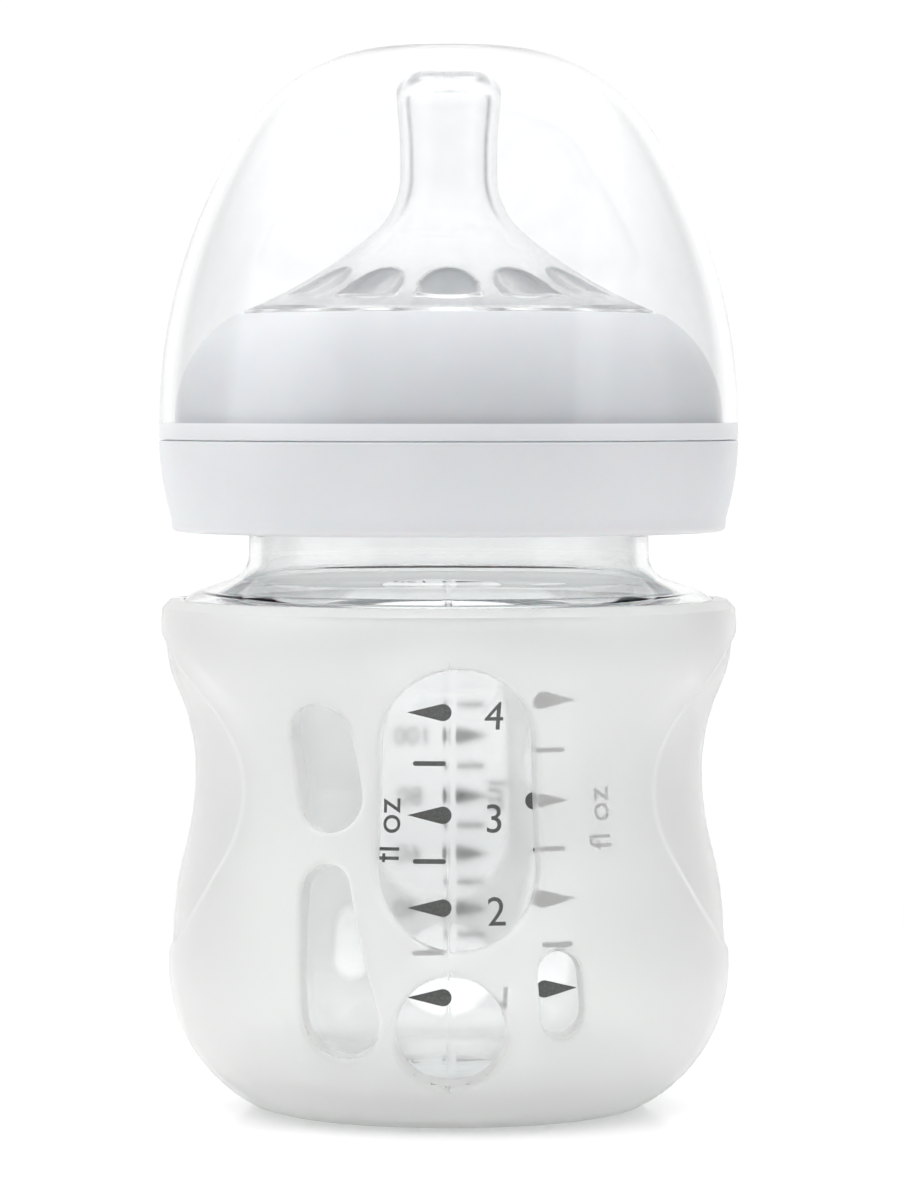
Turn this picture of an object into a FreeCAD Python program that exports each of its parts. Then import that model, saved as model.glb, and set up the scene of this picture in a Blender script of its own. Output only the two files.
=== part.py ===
"""Small wide-neck glass feeding bottle: bottle, silicone sleeve, screw ring, teat, dome cap, scale prints.

All sizes are millimetres. +Z is up, the origin is the centre of the underside, and -Y is the front.
"""
import FreeCAD, Part
import math
import os

import Sketcher
from FreeCAD import Placement, Rotation, Vector

# ---------------------------------------------------------------------------------------------
# Driving dimensions. A value that starts with "=" is worked out from others.
# ---------------------------------------------------------------------------------------------
DIMENSIONS = {
    # outer curve of the sleeve: a belly, a waist and an upper bulge
    "belly_radius": "33.7", "belly_height": "17",
    "waist_radius": "30.5", "waist_height": "40.5",
    "bulge_radius": "34.5", "bulge_height": "58.2",
    "heel_flare": "1.5",          # how much larger the heel's curve is than the belly's height
    "belly_share": "0.6",         # the belly's part of the curve down to the waist
    "bulge_share": "0.42",        # the bulge's part of the curve up from the waist
    # walls
    "sleeve_wall": "1.7", "sleeve_gap": "0.15", "glass_wall": "1.6", "base_glass": "3.8",
    "push_up": "1.2",             # rise of the hollow under the glass base
    "sleeve_rim_rise": "2.8",     # sleeve's top edge above the bulge
    "rim_corner": "3.6",          # curve of the sleeve's top outer edge
    "rim_width": "2.05",          # level top edge of the sleeve
    "drain_radius": "12.5",
    # shoulder and neck of the glass
    "shoulder_curve": "4.2", "shoulder_slope": "19.2", "neck_curve": "3", "neck_radius": "24",
    "neck_length": "5.67",        # plain neck between the shoulder and the threaded finish
    "finish_step": "1.4",         # the threaded finish stands out from the neck by this
    "finish_length": "18.35", "rim_round": "0.8",
    # screw thread
    "thread_pitch": "5", "thread_turns": "1.25", "thread_depth": "1.6", "thread_width": "1.8",
    "thread_gap": "0.35", "thread_rise": "6",
    "thread_root": "0.4",         # how deep a thread's ridge is rooted in its wall
    # screw ring
    "lip_thickness": "3", "lip_width": "3.5", "lip_flat": "1.4",
    "flange_drop": "15",          # from the ring's top down to the flange that the cap rests on
    "flange_width": "1.9",        # the flange stands out from the collar by this
    "skirt_height": "10.9", "skirt_step": "0.4", "skirt_corner": "0.8", "skirt_curve": "34",
    "collar_height": "2.5", "ring_wall": "1.8", "thread_wall": "1.7", "thread_wall_rise": "2.4",
    "hollow_width": "1.6", "hollow_rise": "4",
    # teat
    "seat_gap": "0.05", "flange_thickness": "1.6", "flange_play": "0.5", "groove_gap": "0.2",
    "cone_overhang": "0.5", "cone_gap": "0.1", "cone_edge": "0.28", "cone_rise": "16.5",
    "teat_wall": "1.5", "mouth_step": "0.4", "cone_top_radius": "9", "throat_curve": "9",
    "shaft_radius": "5.8", "shaft_length": "3.9", "tip_swell": "0.5", "tip_rise": "6.1",
    "tip_height": "2.8", "tip_flat": "3.6", "feed_hole": "0.35",
    "petal_gap": "4.5", "petal_margin": "2.6", "petal_depth": "1.1", "petal_angle": "22",
    "petal_root": "0.6",          # how deep a petal is rooted in the cone's wall
    "petal_count": "12",
    # dome cap
    "cap_gap": "0.1", "cap_room": "2.6", "cap_wall": "1.3", "cap_straight": "2",
    "cap_side_curve": "64.4", "cap_crown_curve": "22", "snap_depth": "0.35", "snap_height": "1.6",
    # sleeve windows: turn in degrees from the front, then the centre and radius of each round end
    "main_turn": "2", "main_low_x": "0", "main_low_z": "=waist_height - 9.1", "main_low_radius": "9.5",
    "main_high_x": "0", "main_high_z": "=waist_height + 4.5", "main_high_radius": "9",
    "base_turn": "0.5", "base_low_x": "0", "base_low_z": "12.1", "base_low_radius": "6.6",
    "base_high_x": "0", "base_high_z": "12.3", "base_high_radius": "6.6",
    "side_high_turn": "-27.5", "side_high_low_x": "0.5", "side_high_low_z": "=waist_height - 1.5",
    "side_high_low_radius": "4", "side_high_high_x": "-0.5", "side_high_high_z": "=waist_height + 5.3",
    "side_high_high_radius": "4",
    "side_low_turn": "-23.5", "side_low_low_x": "0.7", "side_low_low_z": "13.6",
    "side_low_low_radius": "4.8", "side_low_high_x": "-1.4", "side_low_high_z": "=waist_height - 12.1",
    "side_low_high_radius": "3.1",
    "small_turn": "23", "small_low_x": "0.2", "small_low_z": "14.3", "small_low_radius": "2.8",
    "small_high_x": "-0.2", "small_high_z": "18.9", "small_high_radius": "2.8",
    # printed scales: the middle of the arrows, across their own plane and round the bottle
    "print_thickness": "0.08", "arrow_length": "5.1", "arrow_width": "2", "tick_length": "3.8",
    "tick_width": "0.55", "print_low": "10",
    "left_scale_x": "-2.2", "left_scale_turn": "0", "right_scale_x": "0", "right_scale_turn": "23",
    "rear_scale_x": "-2.8", "rear_scale_turn": "180",
    # heights of the arrows: whole ounces on the left and right, every 20 millilitres at the rear
    "left_level_1": "16.4", "left_level_2": "26.6", "left_level_3": "37.1", "left_level_4": "49",
    "right_level_1": "17.2", "right_level_2": "27.4", "right_level_3": "38.65", "right_level_4": "50.6",
    "rear_level_1": "13.9", "rear_level_2": "20.8", "rear_level_3": "27.7", "rear_level_4": "35.3",
    "rear_level_5": "43.2", "rear_level_6": "51.3",
    # derived sizes
    "glass_offset": "=sleeve_wall + sleeve_gap",
    "bore_offset": "=glass_offset + glass_wall",
    "heel_curve": "=belly_height + heel_flare",
    "lower_sum": "=((belly_radius - waist_radius) ^ 2 + (waist_height - belly_height) ^ 2)"
                 " / (2 * (belly_radius - waist_radius))",
    "upper_sum": "=((bulge_radius - waist_radius) ^ 2 + (bulge_height - waist_height) ^ 2)"
                 " / (2 * (bulge_radius - waist_radius))",
    "belly_curve": "=lower_sum * belly_share",
    "waist_low_curve": "=lower_sum - belly_curve",
    "bulge_curve": "=upper_sum * bulge_share",
    "waist_high_curve": "=upper_sum - bulge_curve",
    "slope_sin": "=sin(shoulder_slope * 1 deg)",
    "slope_cos": "=cos(shoulder_slope * 1 deg)",
    "shoulder_centre": "=bulge_radius - glass_offset - shoulder_curve",
    "slope_end": "=neck_radius + neck_curve - neck_curve * slope_sin",
    "neck_start": "=bulge_height + shoulder_curve * slope_cos + (shoulder_centre"
                  " + shoulder_curve * slope_sin - slope_end) * slope_sin / slope_cos"
                  " + neck_curve * slope_cos",
    "bore_radius": "=neck_radius - glass_wall",
    "finish_radius": "=neck_radius + finish_step",
    "thread_radius": "=finish_radius + thread_depth",
    "floor_height": "=glass_offset + base_glass",
    "thread_flank": "=thread_depth / 3",
    "sleeve_top": "=bulge_height + sleeve_rim_rise",
    "rim_inner": "=shoulder_centre + sqrt((shoulder_curve + sleeve_gap) ^ 2 - sleeve_rim_rise ^ 2)",
    "finish_start": "=neck_start + neck_length",
    "rim_height": "=finish_start + finish_length",
    "neck_thread_start": "=finish_start + thread_rise",
    "ring_bore": "=thread_radius + thread_gap * 2",
    "ring_top": "=rim_height + flange_thickness + seat_gap + lip_thickness",
    "ring_flange": "=ring_top - flange_drop",
    "ring_bottom": "=ring_flange - skirt_height",
    "hollow_top": "=ring_flange + hollow_rise",
    "collar_radius": "=ring_bore + thread_wall + hollow_width + ring_wall",
    "skirt_radius": "=collar_radius + skirt_step",
    "ring_radius": "=collar_radius + flange_width",
    "lip_hole": "=ring_bore - lip_width",
    "lip_bottom": "=ring_top - lip_thickness",
    "collar_top": "=ring_flange + collar_height",
    "lip_edge": "=lip_hole + lip_flat",
    "ring_shoulder": "=((collar_radius - lip_edge) ^ 2 + (ring_top - collar_top) ^ 2)"
                     " / (2 * (collar_radius - lip_edge))",
    "flange_top": "=lip_bottom - seat_gap",
    "flange_bottom": "=flange_top - flange_thickness",
    "flange_radius": "=ring_bore - flange_play",
    "groove_radius": "=lip_hole - groove_gap",
    "cone_radius": "=lip_hole + cone_overhang - groove_gap",
    "cone_bottom": "=ring_top + cone_gap",
    "flange_inner": "=bore_radius - mouth_step",
    "shaft_start": "=cone_bottom + cone_rise",
    "shaft_end": "=shaft_start + shaft_length",
    "tip_start": "=shaft_end + tip_rise",
    "tip_top": "=tip_start + tip_height",
    "throat_lean": "=acos(1 - (cone_top_radius - shaft_radius) / throat_curve)",
    "cone_across": "=cone_radius - cone_top_radius",
    "cone_fall": "=shaft_start - throat_curve * sin(throat_lean) - cone_bottom - cone_edge",
    "cone_curve": "=(cone_across ^ 2 + cone_fall ^ 2)"
                  " / (2 * (cone_across * cos(throat_lean) - cone_fall * sin(throat_lean)))",
    "petal_inner": "=cone_top_radius + petal_gap",
    "petal_outer": "=flange_inner - petal_margin",
    "inner_tip_flat": "=tip_flat - teat_wall / 2",
    "cap_bottom": "=ring_flange + cap_gap",
    "cap_top": "=tip_top + cap_room",
    "cap_side_base": "=cap_bottom + cap_straight",
    "cap_side_centre": "=ring_radius - cap_side_curve",
    "cap_crown_height": "=cap_top - cap_crown_curve",
    "cap_crown_centre": "=cap_side_centre + sqrt((cap_side_curve - cap_crown_curve) ^ 2"
                        " - (cap_crown_height - cap_side_base) ^ 2)",
    "print_reach": "=bulge_radius * 1.2",    # the marks' prisms end outside the glass
    "trim_reach": "=bulge_radius * 1.3",     # and inside what trims them to the print's skin
}

WINDOWS = ("main", "base", "side_high", "side_low", "small")

document = FreeCAD.newDocument("feeding_bottle")
sheet = document.addObject("Spreadsheet::Sheet", "dims")


def write_sizes():
    """Write each size in a row of its own, with its alias."""
    for row, (alias, text) in enumerate(DIMENSIONS.items(), start=1):
        sheet.set(f"A{row}", alias)
        sheet.set(f"B{row}", text)
        sheet.setAlias(f"B{row}", alias)
    document.recompute()


def size(expression):
    """The value of an expression in the sheet's aliases."""
    value = sheet.evalExpression(expression)
    return float(getattr(value, "Value", value))


def bound(expression):
    """The same expression as an object outside the sheet writes it, with each alias qualified."""
    words = []
    word = ""
    for letter in expression + " ":
        if letter.isalnum() or letter == "_":
            word += letter
            continue
        words.append(f"dims.{word}" if word in DIMENSIONS else word)
        words.append(letter)
        word = ""
    return "".join(words).strip()


# ---------------------------------------------------------------------------------------------
# Sketch helpers
# ---------------------------------------------------------------------------------------------
def origin_plane(body, role):
    """One of the body's own origin planes or axes."""
    return next(feature for feature in body.Origin.OriginFeatures if feature.Role == role)


def new_body(label):
    """A body whose label is the node's name."""
    body = document.addObject("PartDesign::Body", label)
    body.Label = label
    return body


def new_sketch(body, name, turn="0"):
    """A sketch on the body's front plane, turned about the bottle's axis by an expression in degrees."""
    sketch = body.newObject("Sketcher::SketchObject", f"{body.Label}_{name}")
    sketch.AttachmentSupport = (origin_plane(body, "XZ_Plane"), [""])
    sketch.MapMode = "FlatFace"
    if size(turn):
        sketch.AttachmentOffset = Placement(Vector(0, 0, 0), Rotation(Vector(0, 1, 0), size(turn)))
        sketch.setExpression("AttachmentOffset.Rotation.Angle", bound(turn))
    return sketch


def arc_between(start, end, radius, left):
    """The shorter arc of that radius, with its centre left or right of the way from start to end."""
    chord = end - start
    middle = (start + end) * 0.5
    rise = math.sqrt(max(radius * radius - chord.Length * chord.Length / 4, 0.0))
    normal = Vector(-chord.y, chord.x, 0).normalize()
    centre = middle + normal * (rise if left else -rise)
    circle = Part.Circle(centre, Vector(0, 0, 1), radius)
    first = circle.parameter(start)
    last = circle.parameter(end)
    return Part.ArcOfCircle(circle, first, last) if left else Part.ArcOfCircle(circle, last, first)


def bind(sketch, kind, geometry, expression):
    """Give a line or arc a constraint that follows an expression."""
    index = sketch.addConstraint(Sketcher.Constraint(kind, geometry, size(expression)))
    sketch.setExpression(f"Constraints[{index}]", bound(expression))


def pin_point(sketch, geometry, place, corner):
    """Bind one end of a line or arc to its two coordinates' expressions."""
    for kind, expression, axis in (("DistanceX", corner[0], -2), ("DistanceY", corner[1], -1)):
        value = size(expression)
        if abs(value) < 1e-9:
            sketch.addConstraint(Sketcher.Constraint("PointOnObject", geometry, place, axis))
            continue
        index = sketch.addConstraint(Sketcher.Constraint(kind, -1, 1, geometry, place, value))
        sketch.setExpression(f"Constraints[{index}]", bound(expression))


def draw_outline(sketch, corners):
    """Draw a closed outline.

    Each corner is (x, z) or (x, z, curve, side): expressions, where curve is the radius of the arc
    that leaves the corner and side, "left" or "right", is the side of its centre.
    """
    first = sketch.GeometryCount
    points = [Vector(size(corner[0]), size(corner[1]), 0) for corner in corners]
    pieces = []
    for number, corner in enumerate(corners):
        start = points[number]
        end = points[(number + 1) % len(corners)]
        if len(corner) == 2:
            sketch.addGeometry(Part.LineSegment(start, end), False)
            pieces.append((1, 2))
            continue
        left = corner[3] == "left"
        sketch.addGeometry(arc_between(start, end, size(corner[2]), left), False)
        pieces.append((1, 2) if left else (2, 1))
    for number, ends in enumerate(pieces):
        following = (number + 1) % len(pieces)
        sketch.addConstraint(Sketcher.Constraint(
            "Coincident", first + number, ends[1], first + following, pieces[following][0]))
    for number, corner in enumerate(corners):
        pin_point(sketch, first + number, pieces[number][0], corner)
        if len(corner) == 4:
            bind(sketch, "Radius", first + number, corner[2])


def revolve(body, name, corners, cut=False, angle=""):
    """Turn an outline about the bottle's axis, by an angle or all the way, to add or remove material."""
    sketch = new_sketch(body, name + "_outline")
    draw_outline(sketch, corners)
    kind = "PartDesign::Groove" if cut else "PartDesign::Revolution"
    feature = body.newObject(kind, f"{body.Label}_{name}")
    feature.Profile = sketch
    feature.ReferenceAxis = (sketch, ["V_Axis"])
    if angle:
        feature.Midplane = True
        feature.setExpression("Angle", bound(angle))
    document.recompute()
    return feature


def add_thread(body, name, corners, turns):
    """Wind an outline up the bottle's axis as a right-hand thread ridge."""
    sketch = new_sketch(body, name + "_outline")
    draw_outline(sketch, corners)
    helix = body.newObject("PartDesign::AdditiveHelix", f"{body.Label}_{name}")
    helix.Profile = sketch
    helix.ReferenceAxis = (origin_plane(body, "Z_Axis"), [""])
    helix.Mode = "pitch-height-angle"
    helix.setExpression("Pitch", "dims.thread_pitch")
    helix.setExpression("Height", f"dims.thread_pitch * {bound(turns)}")
    document.recompute()
    return helix


# ---------------------------------------------------------------------------------------------
# The bottle's body curve, shared by the sleeve and the glass
# ---------------------------------------------------------------------------------------------
def between(start, end, share):
    """An expression part of the way from one expression to another."""
    return f"({start}) + (({end}) - ({start})) * ({share})"


def body_curve(offset, upward=True):
    """Corners from the heel's belly point to the bulge, moved inwards by the offset, arcs included."""
    belly = ("belly_radius - (%s)" % offset, "belly_height")
    lower_share = f"(belly_curve - ({offset})) / lower_sum"
    lower = (between("belly_radius - belly_curve", "waist_radius + waist_low_curve", lower_share),
             between("belly_height", "waist_height", lower_share))
    waist = ("waist_radius - (%s)" % offset, "waist_height")
    upper_share = f"(waist_high_curve + ({offset})) / upper_sum"
    upper = (between("waist_radius + waist_high_curve", "bulge_radius - bulge_curve", upper_share),
             between("waist_height", "bulge_height", upper_share))
    bulge = ("bulge_radius - (%s)" % offset, "bulge_height")
    belly_arc = f"belly_curve - ({offset})"
    waist_low_arc = f"waist_low_curve + ({offset})"
    waist_high_arc = f"waist_high_curve + ({offset})"
    bulge_arc = f"bulge_curve - ({offset})"
    if upward:
        return [belly + (belly_arc, "left"), lower + (waist_low_arc, "right"),
                waist + (waist_high_arc, "right"), upper + (bulge_arc, "left"), bulge]
    return [bulge + (bulge_arc, "right"), upper + (waist_high_arc, "left"),
            waist + (waist_low_arc, "left"), lower + (belly_arc, "right"), belly]


def heel_corner(offset, height):
    """Where the heel's curve, moved inwards by the offset, meets a level."""
    across = f"sqrt((heel_curve - ({offset})) ^ 2 - (belly_height - ({height})) ^ 2)"
    return (f"belly_radius - heel_curve + {across}", height)


def shoulder_corner(inset):
    """Where the shoulder's rounding, moved inwards by the inset, runs into its slope."""
    return (f"shoulder_centre + (shoulder_curve - ({inset})) * slope_sin",
            f"bulge_height + (shoulder_curve - ({inset})) * slope_cos")


def slope_corner(inset):
    """Where the shoulder's slope runs into the neck's curve."""
    return (f"neck_radius + neck_curve - (neck_curve + ({inset})) * slope_sin",
            f"neck_start - (neck_curve + ({inset})) * slope_cos")


def bore_corners():
    """The inside of the glass from the mouth down to the axis."""
    heel = heel_corner("bore_offset", "floor_height")
    descent = body_curve("bore_offset", upward=False)
    return ([("bore_radius", "neck_start", "neck_curve + glass_wall", "left"),
             slope_corner("glass_wall"),
             shoulder_corner("glass_wall") + ("shoulder_curve - glass_wall", "right")]
            + descent[:-1]
            + [descent[-1] + ("heel_curve - bore_offset", "right"), heel, ("0", "floor_height")])


def make_glass_bottle():
    """Bottle with a hollow base, sloping shoulder, neck and one neck thread."""
    body = new_body("glass_bottle")
    foot = heel_corner("glass_offset", "glass_offset")
    ascent = body_curve("glass_offset")
    push_curve = "((%s) ^ 2 + push_up ^ 2) / (2 * push_up)" % foot[0]
    corners = [("0", "glass_offset + push_up", push_curve, "right"),
               foot + ("heel_curve - glass_offset", "left")]
    corners += ascent[:-1]
    corners += [ascent[-1] + ("shoulder_curve", "left"), shoulder_corner("0"),
                slope_corner("0") + ("neck_curve", "right"), ("neck_radius", "neck_start"),
                ("neck_radius", "finish_start - finish_step"), ("finish_radius", "finish_start"),
                ("finish_radius", "rim_height - rim_round", "rim_round", "left"),
                ("finish_radius - rim_round", "rim_height"), ("bore_radius", "rim_height")]
    corners += bore_corners()
    revolve(body, "wall", corners)
    half = "thread_width / 2"
    root = "finish_radius - thread_root"
    add_thread(body, "neck_thread", [
        (root, f"neck_thread_start - {half} - thread_flank"),
        ("thread_radius", f"neck_thread_start - {half} + thread_flank"),
        ("thread_radius", f"neck_thread_start + {half} - thread_flank"),
        (root, f"neck_thread_start + {half} + thread_flank")], "thread_turns")
    return body


def join_round_ends(sketch, first):
    """Join two arcs and then two lines, drawn in that order, end to end and tangent."""
    for piece, place, following, start in ((0, 2, 2, 1), (2, 2, 1, 1), (1, 2, 3, 1), (3, 2, 0, 1)):
        sketch.addConstraint(Sketcher.Constraint(
            "Tangent", first + piece, place, first + following, start))


def draw_window(sketch, name):
    """Draw a window's two round ends joined by their common tangents: a stadium or a drop shape."""
    lower, upper = [Vector(size(f"{name}_{end}_x"), size(f"{name}_{end}_z"), 0) for end in ("low", "high")]
    low_radius, high_radius = [size(f"{name}_{end}_radius") for end in ("low", "high")]
    axis = upper - lower
    lean = math.atan2(axis.y, axis.x)
    spread = math.acos((low_radius - high_radius) / axis.Length)
    first = sketch.GeometryCount
    ends = []
    for centre, radius, begin, sweep in (
            (lower, low_radius, lean + spread, 2 * math.pi - 2 * spread),
            (upper, high_radius, lean - spread, 2 * spread)):
        circle = Part.Circle(centre, Vector(0, 0, 1), radius)
        sketch.addGeometry(Part.ArcOfCircle(circle, begin, begin + sweep), False)
        ends.append([centre + Vector(math.cos(turn), math.sin(turn), 0) * radius
                     for turn in (begin, begin + sweep)])
    sketch.addGeometry(Part.LineSegment(ends[0][1], ends[1][0]), False)
    sketch.addGeometry(Part.LineSegment(ends[1][1], ends[0][0]), False)
    join_round_ends(sketch, first)
    for number, end in enumerate(("low", "high")):
        bind(sketch, "Radius", first + number, f"{name}_{end}_radius")
        pin_point(sketch, first + number, 3, (f"{name}_{end}_x", f"{name}_{end}_z"))


def make_silicone_sleeve():
    """Sleeve with the same windows front and back and a drain hole in its base."""
    body = new_body("silicone_sleeve")
    outer = body_curve("0")
    inner = body_curve("sleeve_wall", upward=False)
    corners = [("drain_radius", "0"), heel_corner("0", "0") + ("heel_curve", "left")]
    corners += outer[:-1]
    corners += [outer[-1] + ("rim_corner", "left"), ("rim_inner + rim_width", "sleeve_top"),
                ("rim_inner", "sleeve_top", "shoulder_curve + sleeve_gap", "right")]
    corners += inner[:-1]
    corners += [inner[-1] + ("heel_curve - sleeve_wall", "right"),
                heel_corner("sleeve_wall", "sleeve_wall"), ("drain_radius", "sleeve_wall")]
    revolve(body, "wall", corners)
    for side, half_turn in (("front", "0"), ("rear", "180")):
        for name in WINDOWS:
            sketch = new_sketch(body, f"{side}_{name}", f"{name}_turn + {half_turn}")
            draw_window(sketch, name)
            pocket = body.newObject("PartDesign::Pocket", f"{body.Label}_{side}_{name}_window")
            pocket.Profile = sketch
            pocket.Type = "Length"
            pocket.Reversed = True
            pocket.setExpression("Length", "dims.bulge_radius * 2")
            document.recompute()
    return body


def make_screw_ring():
    """Ring with a top lip, rounded shoulder, flange, outer skirt and inner threaded wall."""
    body = new_body("screw_ring")
    skirt_inner = "collar_radius - ring_wall"
    revolve(body, "wall", [
        ("lip_hole", "lip_bottom"), ("ring_bore", "lip_bottom"),
        ("ring_bore", "ring_bottom + thread_wall_rise"),
        ("ring_bore + thread_wall", "ring_bottom + thread_wall_rise"),
        ("ring_bore + thread_wall", "hollow_top"), (skirt_inner, "hollow_top"),
        (skirt_inner, "ring_bottom"),
        ("skirt_radius - skirt_corner", "ring_bottom", "skirt_corner", "left"),
        ("skirt_radius", "ring_bottom + skirt_corner", "skirt_curve", "left"),
        ("ring_radius", "ring_flange"), ("collar_radius", "ring_flange"),
        ("collar_radius", "collar_top", "ring_shoulder", "left"),
        ("lip_edge", "ring_top"), ("lip_hole", "ring_top")])
    centre = "neck_thread_start - thread_pitch / 2"
    half = "thread_width / 2"
    crest = "finish_radius + thread_gap"
    root = "ring_bore + thread_root"
    add_thread(body, "ring_thread", [
        (root, f"{centre} + {half} + thread_flank"),
        (crest, f"{centre} + {half} - thread_flank"),
        (crest, f"{centre} - {half} + thread_flank"),
        (root, f"{centre} - {half} - thread_flank")], "thread_turns")
    return body


def throat(radius):
    """Where the teat's throat runs into its cone, for a throat arc of that radius."""
    return (f"shaft_radius + throat_curve - ({radius}) * cos(throat_lean)",
            f"shaft_start - ({radius}) * sin(throat_lean)")


def cone_height(radius, curve):
    """Height of the teat's cone at a radius, for a cone arc of that radius tangent to the throat."""
    across = "shaft_radius + throat_curve + (cone_curve - throat_curve) * cos(throat_lean)"
    up = "shaft_start + (cone_curve - throat_curve) * sin(throat_lean)"
    return f"{up} - sqrt(({curve}) ^ 2 - ({across} - ({radius})) ^ 2)"


def make_teat():
    """Teat with a flange, a groove for the ring's lip, a flared cone, a shaft and petals inside."""
    body = new_body("teat")
    inner_shaft = "shaft_radius - teat_wall"
    outer_tip = "shaft_radius + tip_swell"
    revolve(body, "wall", [
        ("feed_hole", "tip_top - teat_wall"), ("inner_tip_flat", "tip_top - teat_wall"),
        (f"{outer_tip} - teat_wall", "tip_start"), (inner_shaft, "shaft_end"),
        (inner_shaft, "shaft_start", "throat_curve + teat_wall", "left"),
        throat("throat_curve + teat_wall") + ("cone_curve + teat_wall", "left"),
        ("flange_inner", cone_height("flange_inner", "cone_curve + teat_wall")),
        ("flange_inner", "flange_bottom"), ("flange_radius", "flange_bottom"),
        ("flange_radius", "flange_top"), ("groove_radius", "flange_top"),
        ("groove_radius", "cone_bottom"), ("cone_radius", "cone_bottom"),
        ("cone_radius", cone_height("cone_radius", "cone_curve"), "cone_curve", "right"),
        throat("throat_curve") + ("throat_curve", "right"),
        ("shaft_radius", "shaft_start"), ("shaft_radius", "shaft_end"),
        (outer_tip, "tip_start", "tip_height", "left"), ("tip_flat", "tip_top"), ("feed_hole", "tip_top")])
    inside = "cone_curve + teat_wall - petal_root"
    petal = revolve(body, "petal", [
        ("petal_inner", cone_height("petal_inner", inside), inside, "left"),
        ("petal_outer", cone_height("petal_outer", inside)),
        ("petal_outer - petal_depth", cone_height("petal_outer", "cone_curve + teat_wall + petal_depth"),
         "petal_outer - petal_inner", "left")], angle="petal_angle")
    pattern = body.newObject("PartDesign::PolarPattern", "teat_petals")
    pattern.Originals = [petal]
    pattern.Axis = (origin_plane(body, "Z_Axis"), [""])
    pattern.Angle = 360
    pattern.setExpression("Occurrences", "dims.petal_count")
    body.Tip = pattern
    document.recompute()
    return body


def crown_corner(inset):
    """Where the dome's side curve runs into its crown, moved inwards by the inset."""
    reach = f"(cap_side_curve - ({inset})) / (cap_side_curve - cap_crown_curve)"
    return (between("cap_side_centre", "cap_crown_centre", reach),
            between("cap_side_base", "cap_crown_height", reach))


def make_dome_cap():
    """Clear dome with a short straight rim and a snap bead just inside it."""
    body = new_body("dome_cap")
    inner = "ring_radius - cap_wall"
    revolve(body, "wall", [
        (inner, "cap_bottom"), ("ring_radius", "cap_bottom"),
        ("ring_radius", "cap_side_base", "cap_side_curve", "left"),
        crown_corner("0") + ("cap_crown_curve", "left"),
        ("cap_crown_centre", "cap_top"), ("0", "cap_top"), ("0", "cap_top - cap_wall"),
        ("cap_crown_centre", "cap_top - cap_wall", "cap_crown_curve - cap_wall", "right"),
        crown_corner("cap_wall") + ("cap_side_curve - cap_wall", "right"),
        (inner, "cap_side_base"), (inner, "cap_bottom + snap_height"),
        (f"{inner} - snap_depth", "cap_bottom + snap_height * 0.75"),
        (f"{inner} - snap_depth", "cap_bottom + snap_height * 0.5"),
        (inner, "cap_bottom + snap_height * 0.25")])
    return body


# ---------------------------------------------------------------------------------------------
# Printed scales
# ---------------------------------------------------------------------------------------------
def draw_arrow(sketch, middle, level, toward):
    """Drop-shaped arrow pointing along X by its sign, with its point and its round end at the level."""
    tip = (f"{middle} + ({toward}) * arrow_length / 2", level)
    centre = (f"{middle} - ({toward}) * (arrow_length - arrow_width) / 2", level)
    radius = size("arrow_width") / 2
    point = Vector(size(tip[0]), size(tip[1]), 0)
    middle_of_end = Vector(size(centre[0]), size(centre[1]), 0)
    spread = math.acos(radius / (point - middle_of_end).Length)
    facing = 0.0 if toward > 0 else math.pi
    turns = (facing + spread, facing - spread + 2 * math.pi)
    circle = Part.Circle(middle_of_end, Vector(0, 0, 1), radius)
    first = sketch.GeometryCount
    sketch.addGeometry(Part.ArcOfCircle(circle, *turns), False)
    upper, lower = [middle_of_end + Vector(math.cos(turn), math.sin(turn), 0) * radius for turn in turns]
    sketch.addGeometry(Part.LineSegment(lower, point), False)
    sketch.addGeometry(Part.LineSegment(point, upper), False)
    sketch.addConstraint(Sketcher.Constraint("Tangent", first, 2, first + 1, 1))
    sketch.addConstraint(Sketcher.Constraint("Coincident", first + 1, 2, first + 2, 1))
    sketch.addConstraint(Sketcher.Constraint("Tangent", first + 2, 2, first, 1))
    bind(sketch, "Radius", first, "arrow_width / 2")
    pin_point(sketch, first, 3, centre)
    pin_point(sketch, first + 1, 2, tip)


def draw_tick(sketch, middle, level):
    """Short level line with round ends."""
    reach = "(tick_length - tick_width) / 2"
    centres = ((f"{middle} - {reach}", level), (f"{middle} + {reach}", level))
    left, right = [Vector(size(centre[0]), size(centre[1]), 0) for centre in centres]
    up = Vector(0, size("tick_width") / 2, 0)
    first = sketch.GeometryCount
    for centre, begin in ((left, math.pi / 2), (right, -math.pi / 2)):
        circle = Part.Circle(centre, Vector(0, 0, 1), up.Length)
        sketch.addGeometry(Part.ArcOfCircle(circle, begin, begin + math.pi), False)
    sketch.addGeometry(Part.LineSegment(left - up, right - up), False)
    sketch.addGeometry(Part.LineSegment(right + up, left + up), False)
    join_round_ends(sketch, first)
    for number, centre in enumerate(centres):
        bind(sketch, "Radius", first + number, "tick_width / 2")
        pin_point(sketch, first + number, 3, centre)


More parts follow.
